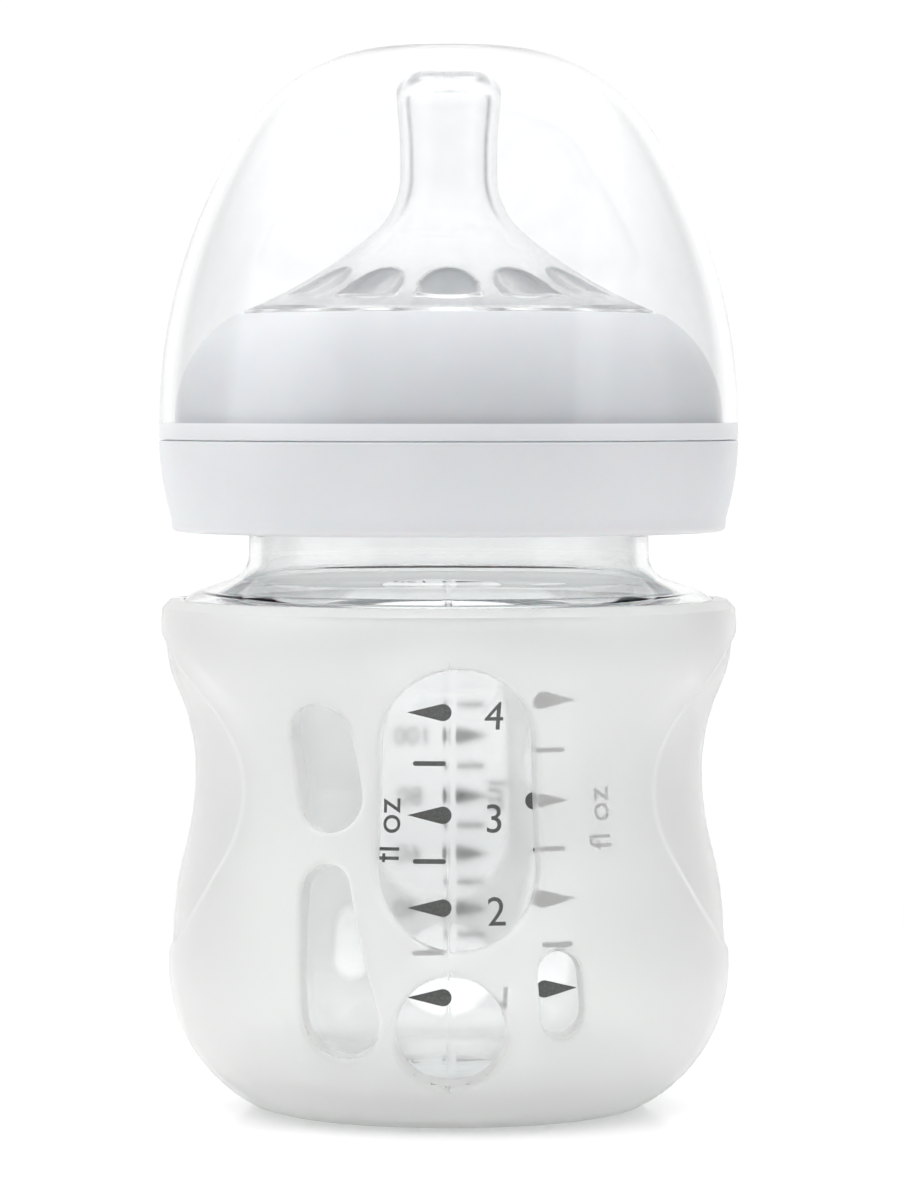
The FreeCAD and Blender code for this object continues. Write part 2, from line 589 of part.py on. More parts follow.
def make_scale(label, place, toward):
    """One printed scale: an arrow at each level and a tick half-way between, lying on the glass."""
    body = new_body(label)
    levels = [alias for alias in DIMENSIONS if alias.startswith(f"{place}_level_")]
    middle = f"{place}_scale_x"
    sketch = new_sketch(body, "marks", f"{place}_scale_turn")
    for level in levels:
        draw_arrow(sketch, middle, level, toward)
    for lower, upper in zip(levels, levels[1:]):
        draw_tick(sketch, middle, f"({lower} + {upper}) / 2")
    pad = body.newObject("PartDesign::Pad", f"{label}_prisms")
    pad.Profile = sketch
    pad.setExpression("Length", "dims.print_reach")
    document.recompute()
    glass = body_curve("glass_offset")
    face = body_curve("glass_offset - print_thickness", upward=False)
    revolve(body, "under", [("0", "print_low"), heel_corner("glass_offset", "print_low")
                            + ("heel_curve - glass_offset", "left")]
            + glass + [("0", "bulge_height")], cut=True)
    revolve(body, "over", [("trim_reach", "bulge_height")] + face[:-1]
            + [face[-1] + ("heel_curve - glass_offset + print_thickness", "right"),
               heel_corner("glass_offset - print_thickness", "print_low"), ("trim_reach", "print_low")],
            cut=True)
    return body


def check_and_write(bodies):
    """Stop on any failed object or bad shape, then write each body's STEP file."""
    for thing in document.Objects:
        if "Invalid" in thing.State or "Error" in thing.State:
            raise RuntimeError(f"{thing.Name} failed: {thing.State}")
    for body in bodies:
        if body.Shape.isNull() or not body.Shape.isValid():
            raise RuntimeError(f"{body.Label} has a bad shape")
    os.makedirs("parts", exist_ok=True)
    for body in bodies:
        body.Shape.exportStep(f"parts/{body.Label}.step")
        print(f"{body.Label}: {len(body.Shape.Solids)} solids, {body.Shape.Volume / 1000:.2f} ml")


def main():
    """Build every piece, check them and write them."""
    write_sizes()
    bodies = [
        make_glass_bottle(),
        make_silicone_sleeve(),
        make_screw_ring(),
        make_teat(),
        make_dome_cap(),
        make_scale("ounce_marks_left", "left", -1),
        make_scale("ounce_marks_right", "right", 1),
        make_scale("millilitre_marks", "rear", -1),
    ]
    check_and_write(bodies)


main()
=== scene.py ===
"""A small glass feeding bottle in a windowed silicone sleeve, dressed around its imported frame.

Lengths are metres in the frame's own axes: +Z is up, -Y is the front and +X is to the right.
"""
import logging
import math
from dataclasses import dataclass, field
from enum import Enum

import bmesh
import bpy
from mathutils import Matrix, Vector
from mathutils.geometry import delaunay_2d_cdt


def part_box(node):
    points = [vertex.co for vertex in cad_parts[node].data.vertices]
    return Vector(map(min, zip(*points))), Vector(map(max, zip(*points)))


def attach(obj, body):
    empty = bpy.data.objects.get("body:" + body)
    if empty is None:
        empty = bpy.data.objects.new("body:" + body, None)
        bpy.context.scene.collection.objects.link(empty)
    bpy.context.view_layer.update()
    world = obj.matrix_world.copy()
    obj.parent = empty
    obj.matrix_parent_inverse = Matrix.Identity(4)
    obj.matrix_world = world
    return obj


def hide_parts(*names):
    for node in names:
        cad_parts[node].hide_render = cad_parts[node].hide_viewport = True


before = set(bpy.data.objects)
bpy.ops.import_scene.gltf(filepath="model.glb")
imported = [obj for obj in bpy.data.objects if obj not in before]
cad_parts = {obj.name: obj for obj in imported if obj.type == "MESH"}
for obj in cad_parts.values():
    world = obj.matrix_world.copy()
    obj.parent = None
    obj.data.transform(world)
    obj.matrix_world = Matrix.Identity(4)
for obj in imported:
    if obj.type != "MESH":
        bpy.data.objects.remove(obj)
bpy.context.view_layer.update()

MM = 0.001
FULL_TURN = 2.0 * math.pi
LATHE_STEPS = 192
SHARP_ANGLE = math.radians(38.0)
WELD = 1e-7
SPECK = 1e-6
Colour = tuple[float, ...]
Tints = tuple[Colour, Colour]
log = logging.getLogger("feeding_bottle")


class Body(Enum):
    """The frame's rigid bodies."""

    BOTTLE = "bottle"
    TEAT = "teat"
    RING = "ring"
    CAP = "cap"


class Slot(Enum):
    """The record's material slots."""

    GLASS = "bottle_glass"
    SLEEVE = "sleeve_silicone"
    RING = "ring_plastic"
    TEAT = "teat_silicone"
    CAP = "cap_plastic"
    PRINT = "scale_print"


class Side(Enum):
    """Which side of its way an arc's centre is on."""

    LEFT = 1.0
    RIGHT = -1.0


class Facing(Enum):
    """Which way a thread's ridge stands from its wall."""

    OUTWARD = 1.0
    INWARD = -1.0


# ---------------------------------------------------------------------------------------------
# Finishes
# ---------------------------------------------------------------------------------------------
class NodeBench:
    """A material's node tree, with short calls to add and join its nodes."""

    def __init__(self, name: str) -> None:
        """Start a material with one Principled shader."""
        self.material = bpy.data.materials.new(name)
        self.material.use_nodes = True
        self.nodes = self.material.node_tree.nodes
        self.links = self.material.node_tree.links
        self.shader = self.nodes["Principled BSDF"]
        self.coordinates = self.nodes.new("ShaderNodeTexCoord").outputs["Object"]

    def set(self, **values: float | Colour) -> None:
        """Set the shader's sockets.

        Args:
            values: socket names with underscores for spaces, and their constants.
        """
        for name, value in values.items():
            self.shader.inputs[name.replace("_", " ")].default_value = value

    def noise(self, scale: float, detail: float = 3.0, roughness: float = 0.5) -> bpy.types.NodeSocket:
        """A noise over the piece.

        Args:
            scale: turns of the noise for each metre.
            detail: octaves.
            roughness: weight of the finer octaves.

        Returns:
            The noise's value socket.
        """
        node = self.nodes.new("ShaderNodeTexNoise")
        node.inputs["Scale"].default_value = scale
        node.inputs["Detail"].default_value = detail
        node.inputs["Roughness"].default_value = roughness
        self.links.new(self.coordinates, node.inputs["Vector"])
        return node.outputs["Fac"]

    def spread(self, value: bpy.types.NodeSocket, low: float, high: float) -> bpy.types.NodeSocket:
        """Map a 0 to 1 value to a range.

        Args:
            value: the socket to map.
            low: result at 0.25.
            high: result at 0.75.

        Returns:
            The mapped socket.
        """
        node = self.nodes.new("ShaderNodeMapRange")
        node.inputs["From Min"].default_value = 0.25
        node.inputs["From Max"].default_value = 0.75
        node.inputs["To Min"].default_value = low
        node.inputs["To Max"].default_value = high
        self.links.new(value, node.inputs["Value"])
        return node.outputs["Result"]

    def nearness(self, near: float, far: float) -> bpy.types.NodeSocket:
        """A value that falls smoothly with distance from the origin.

        Args:
            near: distance where it is 1.
            far: distance where it is 0.

        Returns:
            The value's socket.
        """
        reach = self.nodes.new("ShaderNodeVectorMath")
        reach.operation = "LENGTH"
        self.links.new(self.coordinates, reach.inputs[0])
        node = self.nodes.new("ShaderNodeMapRange")
        node.interpolation_type = "SMOOTHSTEP"
        node.inputs["From Min"].default_value = far
        node.inputs["From Max"].default_value = near
        self.links.new(reach.outputs["Value"], node.inputs["Value"])
        return node.outputs["Result"]

    def tint(self, value: bpy.types.NodeSocket, dark: Colour, light: Colour) -> None:
        """Vary the shader's base colour between two tints.

        Args:
            value: what the colour follows, 0 to 1.
            dark: colour at 0.3.
            light: colour at 0.7.
        """
        node = self.nodes.new("ShaderNodeValToRGB")
        node.color_ramp.elements[0].position = 0.3
        node.color_ramp.elements[1].position = 0.7
        node.color_ramp.elements[0].color = (*dark, 1.0)
        node.color_ramp.elements[1].color = (*light, 1.0)
        self.links.new(value, node.inputs["Fac"])
        self.links.new(node.outputs["Color"], self.shader.inputs["Base Color"])

    def rough(self, value: bpy.types.NodeSocket, low: float, high: float) -> None:
        """Vary the shader's roughness between two values."""
        self.links.new(self.spread(value, low, high), self.shader.inputs["Roughness"])

    def relief(self, heights: list[tuple[bpy.types.NodeSocket, float]]) -> None:
        """Bump the surface.

        Args:
            heights: each height socket with the depth in metres that it stands for.
        """
        normal = None
        for value, depth in heights:
            node = self.nodes.new("ShaderNodeBump")
            node.inputs["Strength"].default_value = 1.0
            node.inputs["Distance"].default_value = depth
            self.links.new(value, node.inputs["Height"])
            if normal is not None:
                self.links.new(normal, node.inputs["Normal"])
            normal = node.outputs["Normal"]
        self.links.new(normal, self.shader.inputs["Normal"])


@dataclass(frozen=True)
class ClearFinish:
    """A see-through wall: pressed glass, moulded clear plastic or clear silicone."""

    name: str
    index: float
    roughness: tuple[float, float]
    wave_scale: float
    wave_depth: float
    tints: Tints
    smear_share: float = 9.0

    def build(self) -> bpy.types.Material:
        """Make the material.

        Returns:
            The finish.
        """
        bench = NodeBench(self.name)
        bench.set(IOR=self.index, Transmission_Weight=1.0)
        wave = bench.noise(self.wave_scale, detail=1.0)
        smear = bench.noise(self.wave_scale * self.smear_share, detail=4.0)
        bench.tint(smear, *self.tints)
        bench.rough(smear, *self.roughness)
        bench.relief([(wave, self.wave_depth)])
        return bench.material


@dataclass(frozen=True)
class FrostedFinish:
    """A milky wall that lets soft light and near shapes through: silicone or satin plastic.

    Its roughness stays above 0.28, as the denoiser shows a finish that crosses about 0.274 as dots.
    """

    name: str
    index: float
    tints: Tints
    transmission: float
    roughness: tuple[float, float] = (0.29, 0.33)
    cloud_scale: float = 60.0
    cloud_depth: float = 0.10 * MM
    pore_scale: float = 320.0
    pore_depth: float = 0.004 * MM

    def build(self) -> bpy.types.Material:
        """Make the material.

        Returns:
            The finish.
        """
        bench = NodeBench(self.name)
        bench.set(IOR=self.index, Transmission_Weight=self.transmission, Sheen_Weight=0.08,
                  Sheen_Roughness=0.5)
        cloud = bench.noise(self.cloud_scale, detail=2.0)
        pores = bench.noise(self.pore_scale, detail=1.0)
        bench.tint(cloud, *self.tints)
        bench.rough(pores, *self.roughness)
        bench.relief([(cloud, self.cloud_depth), (pores, self.pore_depth)])
        return bench.material


@dataclass(frozen=True)
class MouldedPlastic:
    """Opaque moulded plastic with a satin surface."""

    name: str
    tints: Tints = ((0.62, 0.633, 0.655), (0.66, 0.673, 0.695))
    roughness: tuple[float, float] = (0.30, 0.42)
    flow_scale: float = 45.0
    flow_depth: float = 0.05 * MM
    grain_scale: float = 420.0
    grain_depth: float = 0.004 * MM

    def build(self) -> bpy.types.Material:
        """Make the material.

        Returns:
            The finish.
        """
        bench = NodeBench(self.name)
        bench.set(IOR=1.49, Subsurface_Weight=0.25, Subsurface_Scale=2.0 * MM, Coat_Weight=0.12,
                  Coat_Roughness=0.22)
        flow = bench.noise(self.flow_scale, detail=2.0)
        grain = bench.noise(self.grain_scale, detail=2.0)
        bench.tint(flow, *self.tints)
        bench.rough(grain, *self.roughness)
        bench.relief([(flow, self.flow_depth), (grain, self.grain_depth)])
        return bench.material


@dataclass(frozen=True)
class FiredEnamel:
    """Dark enamel print with a faint speckle, paler on the side that is fired to the glass."""

    name: str
    face: Tints = ((0.060, 0.062, 0.060), (0.105, 0.108, 0.105))
    underside: Colour = (0.20, 0.21, 0.20)
    roughness: tuple[float, float] = (0.35, 0.5)
    speckle_scale: float = 3500.0
    speckle_depth: float = 0.01 * MM

    def build(self) -> bpy.types.Material:
        """Make the material.

        Returns:
            The finish.
        """
        bench = NodeBench(self.name)
        bench.set(IOR=1.5)
        speckle = bench.noise(self.speckle_scale, detail=2.0)
        bench.tint(speckle, *self.face)
        outward = bench.nodes.new("ShaderNodeVectorMath")
        outward.operation = "DOT_PRODUCT"
        bench.links.new(bench.coordinates, outward.inputs[0])
        bench.links.new(bench.nodes.new("ShaderNodeNewGeometry").outputs["Normal"], outward.inputs[1])
        inside = bench.nodes.new("ShaderNodeMath")
        inside.operation = "LESS_THAN"
        inside.inputs[1].default_value = 0.0
        bench.links.new(outward.outputs["Value"], inside.inputs[0])
        shade = bench.nodes.new("ShaderNodeMix")
        shade.data_type = "RGBA"
        shade.inputs["B"].default_value = (*self.underside, 1.0)
        bench.links.new(inside.outputs[0], shade.inputs["Factor"])
        bench.links.new(bench.shader.inputs["Base Color"].links[0].from_socket, shade.inputs["A"])
        bench.links.new(shade.outputs["Result"], bench.shader.inputs["Base Color"])
        bench.rough(speckle, *self.roughness)
        bench.relief([(speckle, self.speckle_depth)])
        return bench.material


@dataclass(frozen=True)
class Finishes:
    """Every finish of the bottle, made once."""

    glass: bpy.types.Material
    bore: bpy.types.Material
    sleeve: bpy.types.Material
    ring: bpy.types.Material
    teat: bpy.types.Material
    cap: bpy.types.Material
    cap_rim: bpy.types.Material
    enamel: bpy.types.Material

    @classmethod
    def build(cls) -> "Finishes":
        """Make all the materials.

        Returns:
            The finishes.
        """
        glass_tints = ((0.890, 0.900, 0.900), (0.915, 0.925, 0.925))
        return cls(
            glass=ClearFinish("pressed_glass", 1.5, (0.0, 0.02), 55.0, 0.06 * MM, glass_tints).build(),
            bore=ClearFinish("hazed_glass_bore", 1.5, (0.11, 0.16), 55.0, 0.10 * MM, glass_tints).build(),
            sleeve=FrostedFinish("frosted_silicone", 1.34, ((0.925, 0.925, 0.920), (0.945, 0.945, 0.940)),
                                 0.76).build(),
            ring=MouldedPlastic("white_polypropylene").build(),
            teat=ClearFinish("clear_silicone", 1.36, (0.10, 0.20), 110.0, 0.10 * MM,
                             ((0.965, 0.972, 0.976), (0.985, 0.988, 0.99))).build(),
            cap=ClearFinish("clear_polypropylene", 1.47, (0.01, 0.05), 38.0, 0.05 * MM,
                            ((0.945, 0.950, 0.954), (0.968, 0.971, 0.975))).build(),
            # Satin rim finish whose whitish, part-diffuse colour is painted light: a pale band painted where
            # the clear rim would show dark refraction.
            cap_rim=FrostedFinish("satin_cap_rim_painted_pale", 1.47, ((0.88, 0.89, 0.91), (0.92, 0.93, 0.95)),
                                  0.35).build(),
            enamel=FiredEnamel("fired_enamel").build(),
        )


# ---------------------------------------------------------------------------------------------
# Shapes
# ---------------------------------------------------------------------------------------------
@dataclass(frozen=True)
class Point:
    """A place on a section: radius, height, and how far its corner is rounded back."""

    radius: float
    height: float
    rounding: float = 0.0


class Section:
    """An outline of radii and heights, built of lines and arcs, in metres."""

    def __init__(self, start: Point) -> None:
        """Start the outline at a point."""
        self.points: list[Point] = [start]

    def line(self, *points: Point) -> "Section":
        """Add straight runs to the points."""
        self.points.extend(points)
        return self

    def arc(self, end: Point, radius: float, side: Side, step: float = 0.5 * MM) -> "Section":
        """Add an arc.

        Args:
            end: where it ends.
            radius: its radius.
            side: side of its centre, seen along its way.
            step: length of its short runs.

        Returns:
            The section itself.
        """
        start = Vector((self.points[-1].radius, self.points[-1].height))
        finish = Vector((end.radius, end.height))
        chord = finish - start
        rise = math.sqrt(max(radius * radius - chord.length_squared / 4.0, 0.0))
        normal = Vector((-chord.y, chord.x)).normalized() * side.value
        centre = (start + finish) / 2.0 + normal * rise
        first = math.atan2(start.y - centre.y, start.x - centre.x)
        sweep = 2.0 * math.asin(min(chord.length / 2.0 / radius, 1.0)) * side.value
        count = max(3, math.ceil(abs(sweep) * radius / step))
        for number in range(1, count):
            turn = first + sweep * number / count
            self.points.append(Point(centre.x + radius * math.cos(turn),
                                     centre.y + radius * math.sin(turn)))
        self.points.append(end)
        return self

    def outline(self) -> list[Vector]:
        """The closed outline with its corners rounded.

        Returns:
            Points of radius and height in order, without a repeat of the first.
        """
        count = len(self.points)
        flat = [Vector((point.radius, point.height)) for point in self.points]
        result: list[Vector] = []
        for number, point in enumerate(self.points):
            here = flat[number]
            if point.rounding <= 0.0:
                result.append(here)
                continue
            before = flat[number - 1] - here
            after = flat[(number + 1) % count] - here
            back = here + before.normalized() * min(point.rounding, before.length * 0.5)
            ahead = here + after.normalized() * min(point.rounding, after.length * 0.5)
            for share in (0.0, 0.2, 0.4, 0.6, 0.8, 1.0):
                result.append(back.lerp(here, share).lerp(here.lerp(ahead, share), share))
        return result


def mark_sharp_edges(mesh: bpy.types.Mesh) -> None:
    """Shade a mesh smooth, but for edges that turn more than the sharp angle.

    Args:
        mesh: the mesh to shade.
    """
    shape = bmesh.new()
    shape.from_mesh(mesh)
    for face in shape.faces:
        face.smooth = True
    for edge in shape.edges:
        edge.smooth = len(edge.link_faces) != 2 or edge.calc_face_angle(0.0) < SHARP_ANGLE
    shape.to_mesh(mesh)
    shape.free()


def weld(shape: bmesh.types.BMesh) -> None:
    """Join points that meet and turn the faces outwards."""
    bmesh.ops.remove_doubles(shape, verts=shape.verts, dist=WELD)
    bmesh.ops.recalc_face_normals(shape, faces=shape.faces)


def new_piece(name: str, shape: bmesh.types.BMesh) -> bpy.types.Object:
    """Close up a mesh and make it a piece.

    Args:
        name: the piece's name.
        shape: its mesh, which is freed.

    Returns:
        The new object, linked to the scene.
    """
    weld(shape)
    mesh = bpy.data.meshes.new(name)
    shape.to_mesh(mesh)
    shape.free()
    mark_sharp_edges(mesh)
    piece = bpy.data.objects.new(name, mesh)
    bpy.context.scene.collection.objects.link(piece)
    return piece


def around(radius: float, turn: float, height: float) -> Vector:
    """The place at a radius and height, at a turn from the front towards the right."""
    return Vector((radius * math.sin(turn), -radius * math.cos(turn), height))


def even_turns(count: int = LATHE_STEPS) -> list[float]:
    """Evenly spaced turns all round the axis."""
    return [FULL_TURN * step / count for step in range(count)]


def lathe(name: str, outline: list[Vector], turns: list[float]) -> bpy.types.Object:
    """Turn a closed outline about the bottle's axis.

    Args:
        name: the piece's name.
        outline: radii and heights in order.
        turns: where round the axis its facets meet, in order.

    Returns:
        The new piece.
    """
    shape = bmesh.new()
    rings = [[shape.verts.new(around(max(point.x, 0.0), turn, point.y)) for turn in turns]
             for point in outline]
    for ring, following in zip(rings, rings[1:] + rings[:1]):
        for step in range(len(turns)):
            ahead = (step + 1) % len(turns)
            shape.faces.new((ring[step], ring[ahead], following[ahead], following[step]))
    bmesh.ops.dissolve_degenerate(shape, dist=WELD, edges=shape.edges)
    return new_piece(name, shape)


@dataclass(frozen=True)
class BodyCurve:
    """The curve that the sleeve and the glass share: heel, belly, waist, bulge, shoulder and neck."""

    belly_radius: float = 33.7 * MM
    belly_height: float = 17.0 * MM
    waist_radius: float = 30.5 * MM
    waist_height: float = 40.5 * MM
    bulge_radius: float = 34.5 * MM
    bulge_height: float = 58.2 * MM
    heel_curve: float = 18.5 * MM
    belly_share: float = 0.6
    bulge_share: float = 0.42
    sleeve_wall: float = 1.7 * MM
    sleeve_gap: float = 0.15 * MM
    glass_wall: float = 1.6 * MM
    shoulder_curve: float = 4.2 * MM
    shoulder_slope: float = math.radians(19.2)
    neck_curve: float = 3.0 * MM
    neck_radius: float = 24.0 * MM

    @property
    def glass_inset(self) -> float:
        """From the sleeve's outside to the glass's."""
        return self.sleeve_wall + self.sleeve_gap

    @property
    def bore_inset(self) -> float:
        """From the sleeve's outside to the glass's inside."""
        return self.glass_inset + self.glass_wall

    @property
    def lower_arcs(self) -> tuple[float, float]:
        """Radii of the belly's arc and the waist's lower arc."""
        across = self.belly_radius - self.waist_radius
        total = (across ** 2 + (self.waist_height - self.belly_height) ** 2) / (2.0 * across)
        return total * self.belly_share, total * (1.0 - self.belly_share)

    @property
    def upper_arcs(self) -> tuple[float, float]:
        """Radii of the waist's upper arc and the bulge's arc."""
        across = self.bulge_radius - self.waist_radius
        total = (across ** 2 + (self.bulge_height - self.waist_height) ** 2) / (2.0 * across)
        return total * (1.0 - self.bulge_share), total * self.bulge_share

    @property
    def shoulder_centre(self) -> float:
        """Radius of the centre of the glass shoulder's rounding."""
        return self.bulge_radius - self.glass_inset - self.shoulder_curve

    @property
    def neck_start(self) -> float:
        """Height where the neck's curve ends and the neck runs straight."""
        sine, cosine = math.sin(self.shoulder_slope), math.cos(self.shoulder_slope)
        slope_end = self.neck_radius + self.neck_curve * (1.0 - sine)
        run = self.shoulder_centre + self.shoulder_curve * sine - slope_end
        return (self.bulge_height + self.shoulder_curve * cosine + run * sine / cosine
                + self.neck_curve * cosine)

    def radius(self, height: float, inset: float = 0.0) -> float:
        """Radius of the body at a height.

        Args:
            height: height above the base, up to the bulge.
            inset: how far inside the sleeve's outer surface.

        Returns:
            The radius.
        """
        if height <= self.belly_height:
            reach = (self.heel_curve - inset) ** 2 - (height - self.belly_height) ** 2
            return self.belly_radius - self.heel_curve + math.sqrt(max(reach, 0.0))
        belly, waist_low = self.lower_arcs
        share = (belly - inset) / (belly + waist_low)
        if height <= self.belly_height + (self.waist_height - self.belly_height) * share:
            return (self.belly_radius - belly
                    + math.sqrt((belly - inset) ** 2 - (height - self.belly_height) ** 2))
        if height <= self.waist_height:
            return (self.waist_radius + waist_low
                    - math.sqrt((waist_low + inset) ** 2 - (height - self.waist_height) ** 2))
        waist_high, bulge = self.upper_arcs
        share = (waist_high + inset) / (waist_high + bulge)
        if height <= self.waist_height + (self.bulge_height - self.waist_height) * share:
            return (self.waist_radius + waist_high
                    - math.sqrt((waist_high + inset) ** 2 - (height - self.waist_height) ** 2))
        height = min(height, self.bulge_height)
        return (self.bulge_radius - bulge
                + math.sqrt((bulge - inset) ** 2 - (height - self.bulge_height) ** 2))

    def foot(self, inset: float) -> float:
        """Radius where the heel meets the level of its own inset."""
        return self.radius(inset, inset)

    def climb(self, low: float, high: float, inset: float, step: float = 0.6 * MM) -> list[Point]:
        """Points up the body's curve.

        Args:
            low: first height.
            high: last height.
            inset: how far inside the sleeve's outer surface.
            step: height between the points.

        Returns:
            Points from low to high.
        """
        count = max(2, round((high - low) / step))
        heights = [low + (high - low) * number / count for number in range(count + 1)]
        return [Point(self.radius(height, inset), height) for height in heights]

    def shoulder(self, inset: float) -> tuple[Point, Point, Point]:
        """Ends of the shoulder's rounding and slope, and the neck's start, inside the glass's surface.

        Args:
            inset: how far inside the glass's outer surface.

        Returns:
            The rounding's end, the slope's end and the neck's start.
        """
        sine, cosine = math.sin(self.shoulder_slope), math.cos(self.shoulder_slope)
        curve = self.shoulder_curve - inset
        throat = self.neck_curve + inset
        return (Point(self.shoulder_centre + curve * sine, self.bulge_height + curve * cosine),
                Point(self.neck_radius + self.neck_curve - throat * sine, self.neck_start - throat * cosine),
                Point(self.neck_radius - inset, self.neck_start))


# ---------------------------------------------------------------------------------------------
# Geometry Nodes
# ---------------------------------------------------------------------------------------------
class NodeTree:
    """A Geometry Nodes tree with named inputs, applied once to make a plain mesh."""

    def __init__(self, name: str) -> None:
        """Start a tree with a geometry input and output."""
        self.tree = bpy.data.node_groups.new(name, "GeometryNodeTree")
        self.tree.interface.new_socket("Geometry", in_out="INPUT", socket_type="NodeSocketGeometry")
        self.tree.interface.new_socket("Geometry", in_out="OUTPUT", socket_type="NodeSocketGeometry")
        self.source = self.tree.nodes.new("NodeGroupInput")
        self.result = self.tree.nodes.new("NodeGroupOutput")
        self.values: dict[str, float | int | bpy.types.Material] = {}

    def size(self, name: str, kind: str, value: float | int | bpy.types.Material) -> bpy.types.NodeSocket:
        """Add a named input.

        Args:
            name: the input's name.
            kind: Float, Int or Material.
            value: what the modifier sets it to.

        Returns:
            The input's socket inside the tree.
        """
        item = self.tree.interface.new_socket(name, in_out="INPUT", socket_type=f"NodeSocket{kind}")
        self.values[item.identifier] = value
        return self.source.outputs[name]

    def add(self, kind: str, inputs: dict[str | int, object], **properties: object) -> bpy.types.Node:
        """Add a node.

        Args:
            kind: the node's type.
            inputs: its inputs by name or number, each a socket to link or a constant.
            properties: the node's own settings.

        Returns:
            The node.
        """
        node = self.tree.nodes.new(kind)
        for name, value in properties.items():
            setattr(node, name, value)
        for name, value in inputs.items():
            if isinstance(value, bpy.types.NodeSocket):
                self.tree.links.new(value, node.inputs[name])
            else:
                node.inputs[name].default_value = value
        return node

    def math(self, operation: str, first: object, *others: object) -> bpy.types.NodeSocket:
        """Work out an operation, folding the values together one after another.

        Args:
            operation: the Math node's operation.
            first: the first value, a socket or a constant.
            others: what is joined to it in turn, or nothing for an operation on one value.

        Returns:
            The result's socket.
        """
        if not others:
            return self.add("ShaderNodeMath", {0: first}, operation=operation).outputs[0]
        for value in others:
            first = self.add("ShaderNodeMath", {0: first, 1: value}, operation=operation).outputs[0]
        return first

    def bake(self, name: str, base: bpy.types.Mesh, geometry: bpy.types.NodeSocket,
             material: bpy.types.Material) -> bpy.types.Object:
        """End the tree, run it on a mesh and keep the result as a plain mesh.

        Args:
            name: the new piece's name.
            base: the mesh that the tree starts from.
            geometry: the tree's last geometry socket.
            material: the finish that the tree sets.

        Returns:
            The new piece, with no modifier.
        """
        finish = self.size("Finish", "Material", material)
        real = self.add("GeometryNodeRealizeInstances", {"Geometry": geometry})
        dressed = self.add("GeometryNodeSetMaterial", {"Geometry": real.outputs[0], "Material": finish})
        self.tree.links.new(dressed.outputs[0], self.result.inputs[0])
        carrier = bpy.data.objects.new(name, base)
        bpy.context.scene.collection.objects.link(carrier)
        modifier = carrier.modifiers.new("shape", "NODES")
        modifier.node_group = self.tree
        for identifier, value in self.values.items():
            modifier[identifier] = value
        graph = bpy.context.evaluated_depsgraph_get()
        made = bpy.data.meshes.new_from_object(carrier.evaluated_get(graph))
        carrier.modifiers.remove(modifier)
        carrier.data = made
        bpy.data.node_groups.remove(self.tree)
        made.name = name
        shape = bmesh.new()
        shape.from_mesh(made)
        weld(shape)
        shape.to_mesh(made)
        shape.free()
        mark_sharp_edges(made)
        return carrier


@dataclass(frozen=True)
class ThreadRidge:
    """A right-hand screw ridge: a profile carried along a helix by Geometry Nodes."""

    wall: float
    start: float
    facing: Facing
    lift: float = 0.5 * MM
    pitch: float = 5.0 * MM
    turns: float = 1.25
    steps: int = 96
    root: float = 2.7 * MM
    crest: float = 1.08 * MM
    depth: float = 1.6 * MM

    def build(self, name: str, material: bpy.types.Material) -> bpy.types.Object:
        """Make the ridge.

        Args:
            name: the piece's name.
            material: its finish.

        Returns:
            The new piece.
        """
        tree = NodeTree(name + "_tree")
        radius = tree.size("Radius", "Float", self.wall + self.lift * self.facing.value)
        helix = tree.add("GeometryNodeCurveSpiral", {
            "Resolution": tree.size("Steps", "Int", self.steps),
            "Rotations": tree.size("Turns", "Float", self.turns),
            "Start Radius": radius, "End Radius": radius,
            "Height": tree.size("Rise", "Float", self.pitch * self.turns), "Reverse": False})
        upright = tree.add("GeometryNodeSetCurveNormal", {"Curve": helix.outputs[0]}, mode="Z_UP")
        ridge = tree.add("GeometryNodeCurvePrimitiveQuadrilateral", {
            "Height": self.depth, "Bottom Width": self.root, "Top Width": self.crest,
            "Offset": 0.0}, mode="TRAPEZOID")
        turned = tree.add("GeometryNodeTransform", {
            "Geometry": ridge.outputs[0],
            "Rotation": (0.0, 0.0, math.radians(90.0) * self.facing.value)})
        swept = tree.add("GeometryNodeCurveToMesh", {
            "Curve": upright.outputs[0], "Profile Curve": turned.outputs[0], "Fill Caps": True})
        placed = tree.add("GeometryNodeTransform", {
            "Geometry": swept.outputs[0], "Translation": (0.0, 0.0, self.start)})
        return tree.bake(name, bpy.data.meshes.new(name), placed.outputs[0], material)


def settle(piece: bpy.types.Object, body: Body,
           material: bpy.types.Material | None = None) -> None:
    """Give a finished piece its finish and the body that it rides on.

    Args:
        piece: the piece.
        body: what it moves with.
        material: its finish, unless its mesh has it already.
    """
    if material is not None:
        piece.data.materials.clear()
        piece.data.materials.append(material)
    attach(piece, body.value)
    log.info("%s: %d faces on %s", piece.name, len(piece.data.polygons), body.value)


